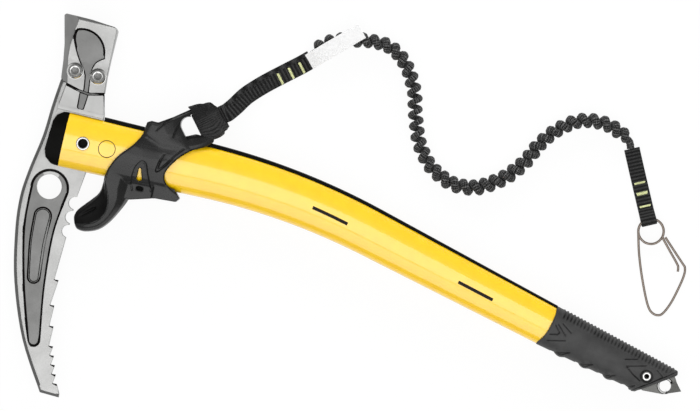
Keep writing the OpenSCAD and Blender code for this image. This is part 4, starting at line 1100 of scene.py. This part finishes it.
def grip_rubber():
    """A cup of rubber: from its inner end along the bore to the collar, and back outside to the slanted end."""
    columns, rows = 200, 300
    skin = [("bore", 0, 1), ("bore", 1, 1), ("bore", 1, 0.09), ("step", 1, 0.085), ("step", 1, 0)]
    skin += [("outside", 1, t / rows) for t in range(rows + 1)] + [("cap", size, 1) for size in (0.93, 0.5, 0)]

    def place(row, column):
        kind, size, t = skin[row]
        a = math.tau * column / columns
        c = math.cos(a)
        if kind in ("bore", "step"):
            tight = SEAT_DEPTH if kind == "bore" else 0
            across, z = oval(width_at(BORE_S) - 2 * tight, thick_at(BORE_S) - 2 * tight, a)
            across, z = across * size, z * size
            start = collar_at(across)
            x = start + (slant_at(across) - TUBE_BACK - start) * t
            return on_shaft(GRIP_S + x, across, z), (x * MM, across * MM)
        across = grip_outside(0, a)[0]
        for _ in range(4):
            x = collar_at(across) + (end_at(across) - collar_at(across)) * t
            across, z = grip_outside(x, a)
        edge = max(0, min((x - collar_at(across)) / COLLAR_ROUND, (end_at(across) - x) / END_ROUND, 1))
        relief, groove = grip_relief(x, across, c)
        relief = relief * ease(edge) - ROUND_DROP * (1 - math.sqrt(1 - (1 - edge) ** 2))
        out = Vector((across / (width_at(GRIP_S + x) ** 2), z / GRIP_THICK ** 2)).normalized()
        across, z = (across + out.x * relief) * size, (z + out.y * relief) * size
        if kind == "cap":
            x = end_at(across)
        return on_shaft(GRIP_S + x, across, z), (x * MM, a * 14 * MM), groove * ease(edge)

    return seal(grid(len(skin) - 1, columns, place))


rubber = cut(grip_rubber(), drill(SPIKE_RIVET, SPIKE_BORE))
piece("grip_moulded", rubber, GRIP_RUBBER, "tool", ["grip"], sharp=60)


# Leash: a wide loop round the trigger's bar, then webbing

BAR = mm(95.6, 67.2)
PULL = Vector((0.772, 0.636, 0)).normalized()
BAR_R = 4
LOOP_W, LOOP_T, LOOP_LEN = 19, 1.5, 15
LOOP_TILT = math.radians(14)
LOOP_DIR = PULL * math.cos(LOOP_TILT) - UP * math.sin(LOOP_TILT)
LOOP_UP = PULL * math.sin(LOOP_TILT) + UP * math.cos(LOOP_TILT)
LOOP_SIDE = UP.cross(PULL)
STRAP_W, STRAP_T = 13, 1.8
LOOP_END = BAR + LOOP_DIR * LOOP_LEN * MM
STRAP_RIB = 2.7
# How far the loop is drawn in at its seam, and over what run
SEAM_DRAW, SEAM_RUN = 0.42, 7


def ribbed(width, thick, pitch, height, columns=16):
    """Section of a webbing whose cross ribs stand up by height, darker between the ribs as painted shade."""
    def section(run):
        wave = abs(math.sin(math.pi * run / pitch))
        swell = 1 + 2 * height * wave ** 0.7 / thick
        return [(x, z * swell, (1 - wave) ** 0.8) for x, z in flat_section(width, thick, columns)]
    return section


def loop_path():
    """Line of the loop's webbing, out from its seam, round the bar and back."""
    r = BAR_R + 0.1 + LOOP_T / 2
    layer = (STRAP_T + LOOP_T) / 2
    upper = [(LOOP_LEN, layer), (12, layer + 0.05), (9, layer + 0.5), (6, layer + 1.4)]
    arc = [(r * math.cos(math.radians(a)), r * math.sin(math.radians(a))) for a in range(64, 181, 13)]
    half = upper + arc
    line = half + [(x, -z) for x, z in reversed(half[:-1])]
    return smooth_line([BAR + (LOOP_DIR * x + LOOP_UP * z) * MM for x, z in line], 4)


loop_line = loop_path()
loop_tape = ribbed(LOOP_W, LOOP_T - 0.2, 1.4, 0.1)


def drawn_in(run):
    """The loop's section, whose upper edge is drawn in to the strap at the seam."""
    end = min(run, run_lengths(loop_line)[-1] / MM - run)
    share = SEAM_DRAW * ease(1 - end / SEAM_RUN)
    return [(x * (1 - share * (x < 0)), z, dip) for x, z, dip in loop_tape(run)]


loop = piece("leash_loop_sewn", sweep(loop_line, drawn_in, -LOOP_SIDE), WEBBING, "trigger", ["leash_loop"])

# Cover sewn over the loop: its edges along the pull and across it, from the upper end of the bar to the lower
COVER_LEFT = curve([(-5.4, 14.7), (-5, 6.2), (-5.4, -2), (-5.6, -10.2)], 12)
COVER_RIGHT = curve([(9.9, 11.5), (12.8, 6.2), (12.6, -1), (14.4, -9.6)], 12)
COVER_T, COVER_R, COVER_FALL, COVER_DROP = 1.2, 6.3, 3.2, 2.6
COVER_RIB, COVER_RIB_H = 1.35, 0.22
ARM_TOP = 6.0


def cover_height(along, across):
    """The cover lies round the bar in the middle, over the ring's arms at its ends, and turns down at its edges."""
    over_bar = math.sqrt(max(0, COVER_R ** 2 - along ** 2)) if along < 0 else COVER_R - COVER_FALL * ease(along / 12)
    over_arm = (ARM_TOP + math.sin(LOOP_TILT) * along) / math.cos(LOOP_TILT) * (1 - 0.5 * ease((along - 4.4) / 5))
    share = ease((abs(across) - 8) / 2)
    drop = COVER_DROP * (ease((across - 12.6) / 2.4) + ease((-across - 11.2) / 2.2))
    return over_bar + max(0, over_arm - over_bar) * share - drop


def loop_cover():
    rows, columns = len(COVER_LEFT) - 1, 40

    def place(row, column):
        q = column / columns
        u, v = COVER_LEFT[row].lerp(COVER_RIGHT[row], q)
        v -= 2.6 * math.sin(math.pi * q) * (row / rows) ** 3
        ridge = abs(math.sin(math.pi * v / COVER_RIB))
        sewn = ease((6 - v) / 3)
        z = cover_height(u, v) + COVER_RIB_H * ridge * sewn
        # The groove value darkens the cover: most between the sewn ribs as painted shade, least on their ridges, and
        # evenly off the sewn part
        groove = 0.55 + (0.25 - 0.8 * ridge) * sewn
        return BAR + (LOOP_DIR * u + LOOP_UP * z) * MM + LOOP_SIDE * v * MM, (u * MM, v * MM), groove

    bm = grid(rows, columns, place)
    bmesh.ops.recalc_face_normals(bm, faces=bm.faces)
    bmesh.ops.solidify(bm, geom=bm.faces, thickness=-COVER_T * MM)
    bmesh.ops.recalc_face_normals(bm, faces=bm.faces)
    return bm


cover = piece("leash_loop_cover", loop_cover(), WEBBING, "trigger", sharp=70)

STRAP_ROUTE = [LOOP_END + LOOP_DIR * run * MM for run in (-5, -2.4, 0.2, 2, 4)] + route(
    (114, 84.5, -7), (120, 93.5, -10), (130, 103.8, -12.4), (142, 114.2, -12.9), (152, 122.6, -12.9),
    (158.6, 128.6, -12.7))
strap_line = smooth_line(STRAP_ROUTE, 24)
strap_tape = ribbed(STRAP_W, STRAP_T - 0.6, STRAP_RIB, 0.3)
strap = piece("leash_strap_ribbed", sweep(strap_line, strap_tape), WEBBING, "trigger", ["leash_strap"],
              sharp=180)


TACK_R, STITCH_R = 0.34, 0.24
# Runs along the strap: its tacks, and the seams' stitches, which lie in two rows
TACK_RUNS, STITCH_RUNS, SEAM_ROWS = (54.2, 62.8, 71.2), [3.2 * k for k in range(5, 16)], (-5, 2)


def along_strap(path, run, across, lift):
    """Point on a strap: so many mm along its line, to the side, and up from it."""
    runs = run_lengths(path)
    i = max(1, next((k for k, r in enumerate(runs) if r >= run * MM), len(runs) - 1))
    way = (path[i] - path[i - 1]).normalized()
    side = UP.cross(way).normalized()
    return path[i] + way * (run * MM - runs[i]) + (side * across + way.cross(side) * lift) * MM


def bar_tack(path, run, centre, width, length, lift, zigs=16):
    """A bar of dense zigzag stitches across a strap."""
    spots = []
    for k in range(2 * zigs + 1):
        across = centre + width * (k / (2 * zigs) - 0.5)
        spots.append(along_strap(path, run + length * (k % 2 - 0.5), across, lift))
    return sweep(smooth_line(spots, 2), lambda _: round_section(TACK_R, 6))


def stitches(path, runs, across, lift, length):
    """A row of single stitches along a strap."""
    row = []
    for run in runs:
        shares = (0, 0.25, 0.5, 0.75, 1)
        arch = [along_strap(path, run + length * t, across, lift + 0.2 * math.sin(math.pi * t)) for t in shares]
        row.append(sweep(arch, lambda _: round_section(STITCH_R, 6)))
    return joined(row)


hem_line = [along_strap(strap_line, run / 2, 4.9, 0.75) for run in range(22, 157)]
hem = piece("leash_strap_hem", sweep(hem_line, ribbed(3, 0.9, 9, 0.06, 6)), WEBBING, "trigger")
bars = [bar_tack(strap_line, run, -2, 8, 1.6, 1.15) for run in TACK_RUNS]
tacks = piece("leash_strap_tacks", joined(bars), TACK_THREAD, "trigger")
rows = [stitches(strap_line, STITCH_RUNS, off, 1.1, 2.2) for off in SEAM_ROWS]
seams = piece("leash_strap_seams", joined(rows), BLACK_THREAD, "trigger")

LABEL_W, LABEL_T = 11.4, 0.5
LABEL_ROUTE = route((157.4, 126.2, -5.8), (163, 131.4, -2.9), (169, 137.2, -1.7), (175, 142.8, -1.5),
                    (182, 149.4, -1.7), (188.6, 155.6, -2.4))
label_line = smooth_line(LABEL_ROUTE, 10)
label_skin = sweep(label_line, lambda _: flat_section(LABEL_W, LABEL_T))
label = piece("leash_label_woven", label_skin, LABEL_TAPE, "trigger", ["leash_label"])

# Elastic: one unbroken curl, whose ends run straight into the webbing

CURL_OD, ELASTIC_D, CURLS, CURL_STEPS = 11, 5.4, 41, 24
CURL_END, SLACK, SLACK_RUN = 4.4, 0.16, 200
# The curl's axis: out of the strap, level along the floor, and down into the tab
LEVEL_Z = -8
ELASTIC_START = [(157, 127.6, -8.9), (159.4, 132.8, -8.7), (163.4, 138.8, -8.3)]
ELASTIC_LEVEL = [
    (169.6, 143.4), (177, 146.4), (186, 148.6), (196, 150.2), (207, 150), (218.4, 145), (227.6, 134.6), (233.8, 123),
    (237.4, 110.6), (241.4, 98), (247.2, 85.4), (256.4, 74.6), (268, 67.6), (280.6, 65), (293.4, 67.6), (305, 74.6),
    (315.4, 84.4), (322.6, 95.4), (328.6, 107.6), (337, 118), (348, 126.8), (360.6, 130.8), (373, 130)]
ELASTIC_END = [(383, 126.2, -8.8), (388.9, 122.3, -10), (391, 118, -11)]
ELASTIC_ROUTE = route(*ELASTIC_START, *[(*p, LEVEL_Z) for p in ELASTIC_LEVEL], *ELASTIC_END)
elastic_axis = smooth_line(ELASTIC_ROUTE, 12)
THIN, THIN_AT, THIN_RUN = 0.24, 112, 30
FOLD_PITCH, FOLD = 2.1, 0.045


def drawn_out(run):
    """The cord's own thickness so far along the axis: thinner where the curl hangs stretched."""
    return ELASTIC_D * (1 - THIN * math.exp(-((run - THIN_AT) / THIN_RUN) ** 2))


def curl():
    """The cord's line along the axis, and the way out from the axis at each of its points."""
    runs = run_lengths(elastic_axis)
    end = CURL_END * MM
    pitch = (runs[-1] - 2 * end) / CURLS
    line, outs = [], []
    spot = 0
    total, lead = CURLS * CURL_STEPS, 8
    for k in range(-lead, total + lead + 1):
        past = min(0, k) / lead + max(0, k - total) / lead
        run = end + max(0, min(total, k)) * pitch / CURL_STEPS + past * (end - 0.1 * MM)
        while spot < len(runs) - 2 and runs[spot + 1] < run:
            spot += 1
        a, b = elastic_axis[spot], elastic_axis[spot + 1]
        way = (elastic_axis[min(spot + 2, len(runs) - 1)] - elastic_axis[max(spot - 1, 0)]).normalized()
        side = UP.cross(way).normalized()
        turn = math.tau * k / CURL_STEPS
        out = side * math.cos(turn) + way.cross(side) * math.sin(turn)
        opened = ease(min(k, total - k) / CURL_STEPS)
        opened *= 1 + SLACK * max(0, math.cos(math.tau * run / (SLACK_RUN * MM)))
        opened *= 1 + 0.07 * math.sin(1.7 * turn) * math.sin(0.31 * turn)
        radius = (CURL_OD - drawn_out(run / MM)) / 2 * MM
        line.append(a.lerp(b, (run - runs[spot]) / (runs[spot + 1] - runs[spot])) + out * radius * opened)
        outs.append(out)
    return line, outs


curl_line, curl_outs = curl()
CURL_SHARE = run_lengths(elastic_axis)[-1] / run_lengths(curl_line)[-1]


def gathered(run):
    """The elastic's section, puckered a little where the sheath gathers, and darker in the folds' troughs as painted
    shade.
    """
    fold = math.sin(math.tau * run / FOLD_PITCH)
    radius = drawn_out(run * CURL_SHARE) / 2 * (1 + FOLD * fold)
    return [(x, z, 0.3 - 0.3 * fold) for x, z in round_section(radius, 16)]


elastic = piece("leash_elastic_curl", sweep(curl_line, gathered, curl_outs), KNIT, "trigger", ["leash_elastic"],
                sharp=180)

# End tab: webbing folded through the clip's coil

TAB_DIR = Vector((0.4386, -0.8987, 0)).normalized()
TAB_W, TAB_LAYER = 11, 1.2
TAB_EYE = mm(414.51, 71.55, -10.1)
TAB_EYE_R = 2.6
# Back from the eye along the tab: run and height; and its tacks: run and width
TAB_BACK = [(51.6, -11), (47.1, -12), (35.7, -12.5), (24, -12.5), (12.9, -12.2), (7, -11.6)]
TAB_TACKS = [(24.8, 1.1), (32.4, 2.1), (41.7, 1.1)]


def on_tab(run, z):
    return Vector((TAB_EYE.x, TAB_EYE.y, 0)) - TAB_DIR * run * MM + UP * z * MM


def tab_path():
    """Line of the tab's webbing: along its upper layer, round the eye and back below."""
    r = TAB_EYE_R + TAB_LAYER / 2
    apart = TAB_LAYER / 2 + 0.08
    turns = [math.radians(a) for a in range(-125, 126, 25)]
    eye = [(-r * math.cos(a), TAB_EYE.z / MM - r * math.sin(a)) for a in turns]
    line = [(run, z + apart) for run, z in TAB_BACK] + eye + [(run, z - apart) for run, z in reversed(TAB_BACK)]
    return smooth_line([on_tab(run, z) for run, z in line], 24)


tab_tape = ribbed(TAB_W, TAB_LAYER - 0.3, 2.5, 0.15)
tab = piece("leash_tab_folded", sweep(tab_path(), tab_tape, UP.cross(TAB_DIR)), WEBBING, "trigger", ["leash_tab"])
tab_line = [on_tab(run, z) for run, z in TAB_BACK]
tab_bars = [bar_tack(tab_line, run, 0, 7.4, wide, TAB_LAYER + 0.35) for run, wide in TAB_TACKS]
tab_tacks = piece("leash_tab_tacks", joined(tab_bars), TACK_THREAD, "trigger")

# Clip: two bent wires that share a coil, hung in the tab's eye

WIRE_D, COIL_R, COIL_HALF = 1.7, 8.9, 1.0
COIL = mm(418, 64.4, -10.1)
CLIP_TILT = math.asin((3.9 - COIL_HALF - WIRE_D / 2 - 0.1) / 66.4)
BODY_LINE = [(410.2, 59), (413.2, 48), (418.1, 34.3), (424.4, 19.6), (428.6, 11.8), (432, 8.7), (436, 8),
             (439.4, 10.4), (443.3, 19.2), (446.5, 32.2), (447.7, 40.4), (447, 45), (445.4, 46.8), (440, 51.9),
             (428.8, 62.6)]
GATE_LINE = [(427.6, 61), (433, 55), (440.9, 46.3), (442.3, 43.8), (442.7, 41)]


def clip_line(first, last, line, level):
    """A turn of the coil from one angle to another, then the bent line, tilted down from the eye."""
    turns = [math.radians(first + (last - first) * k / 48) for k in range(49)]
    coil = [COIL + Vector((math.cos(a), math.sin(a), 0)) * COIL_R * MM for a in turns]
    spots = coil + smooth_line([mm(x, y, COIL.z / MM) for x, y in line], 8)
    tilted = []
    for p in spots:
        run = (p - TAB_EYE).dot(TAB_DIR)
        tilted.append(p - UP * run * math.sin(CLIP_TILT) + UP * level * MM)
    return tilted


def clip_wire(name, line, body, node):
    wire = sweep(line, lambda _: round_section(WIRE_D / 2, 14))
    return piece(name, wire, SPRING_WIRE, body, [node], sharp=60)


clip_body = clip_wire("clip_wire_bent", clip_line(-112, 195, BODY_LINE, -COIL_HALF), "clip", "clip_wire")
clip_gate = clip_wire("clip_gate_bent", clip_line(310, -12, GATE_LINE, COIL_HALF), "gate", "clip_gate")

# Cords and cloth as they are: lengths as the photograph shows them from end to end

tuple(STRAP_ROUTE[0])
run_lengths(strap_line)[-1]
[tuple(p) for p in strap_line]
tuple(ELASTIC_ROUTE[0])
run_lengths(elastic_axis)[-1]
[tuple(p) for p in elastic_axis]
run_lengths(label_line)[-1]
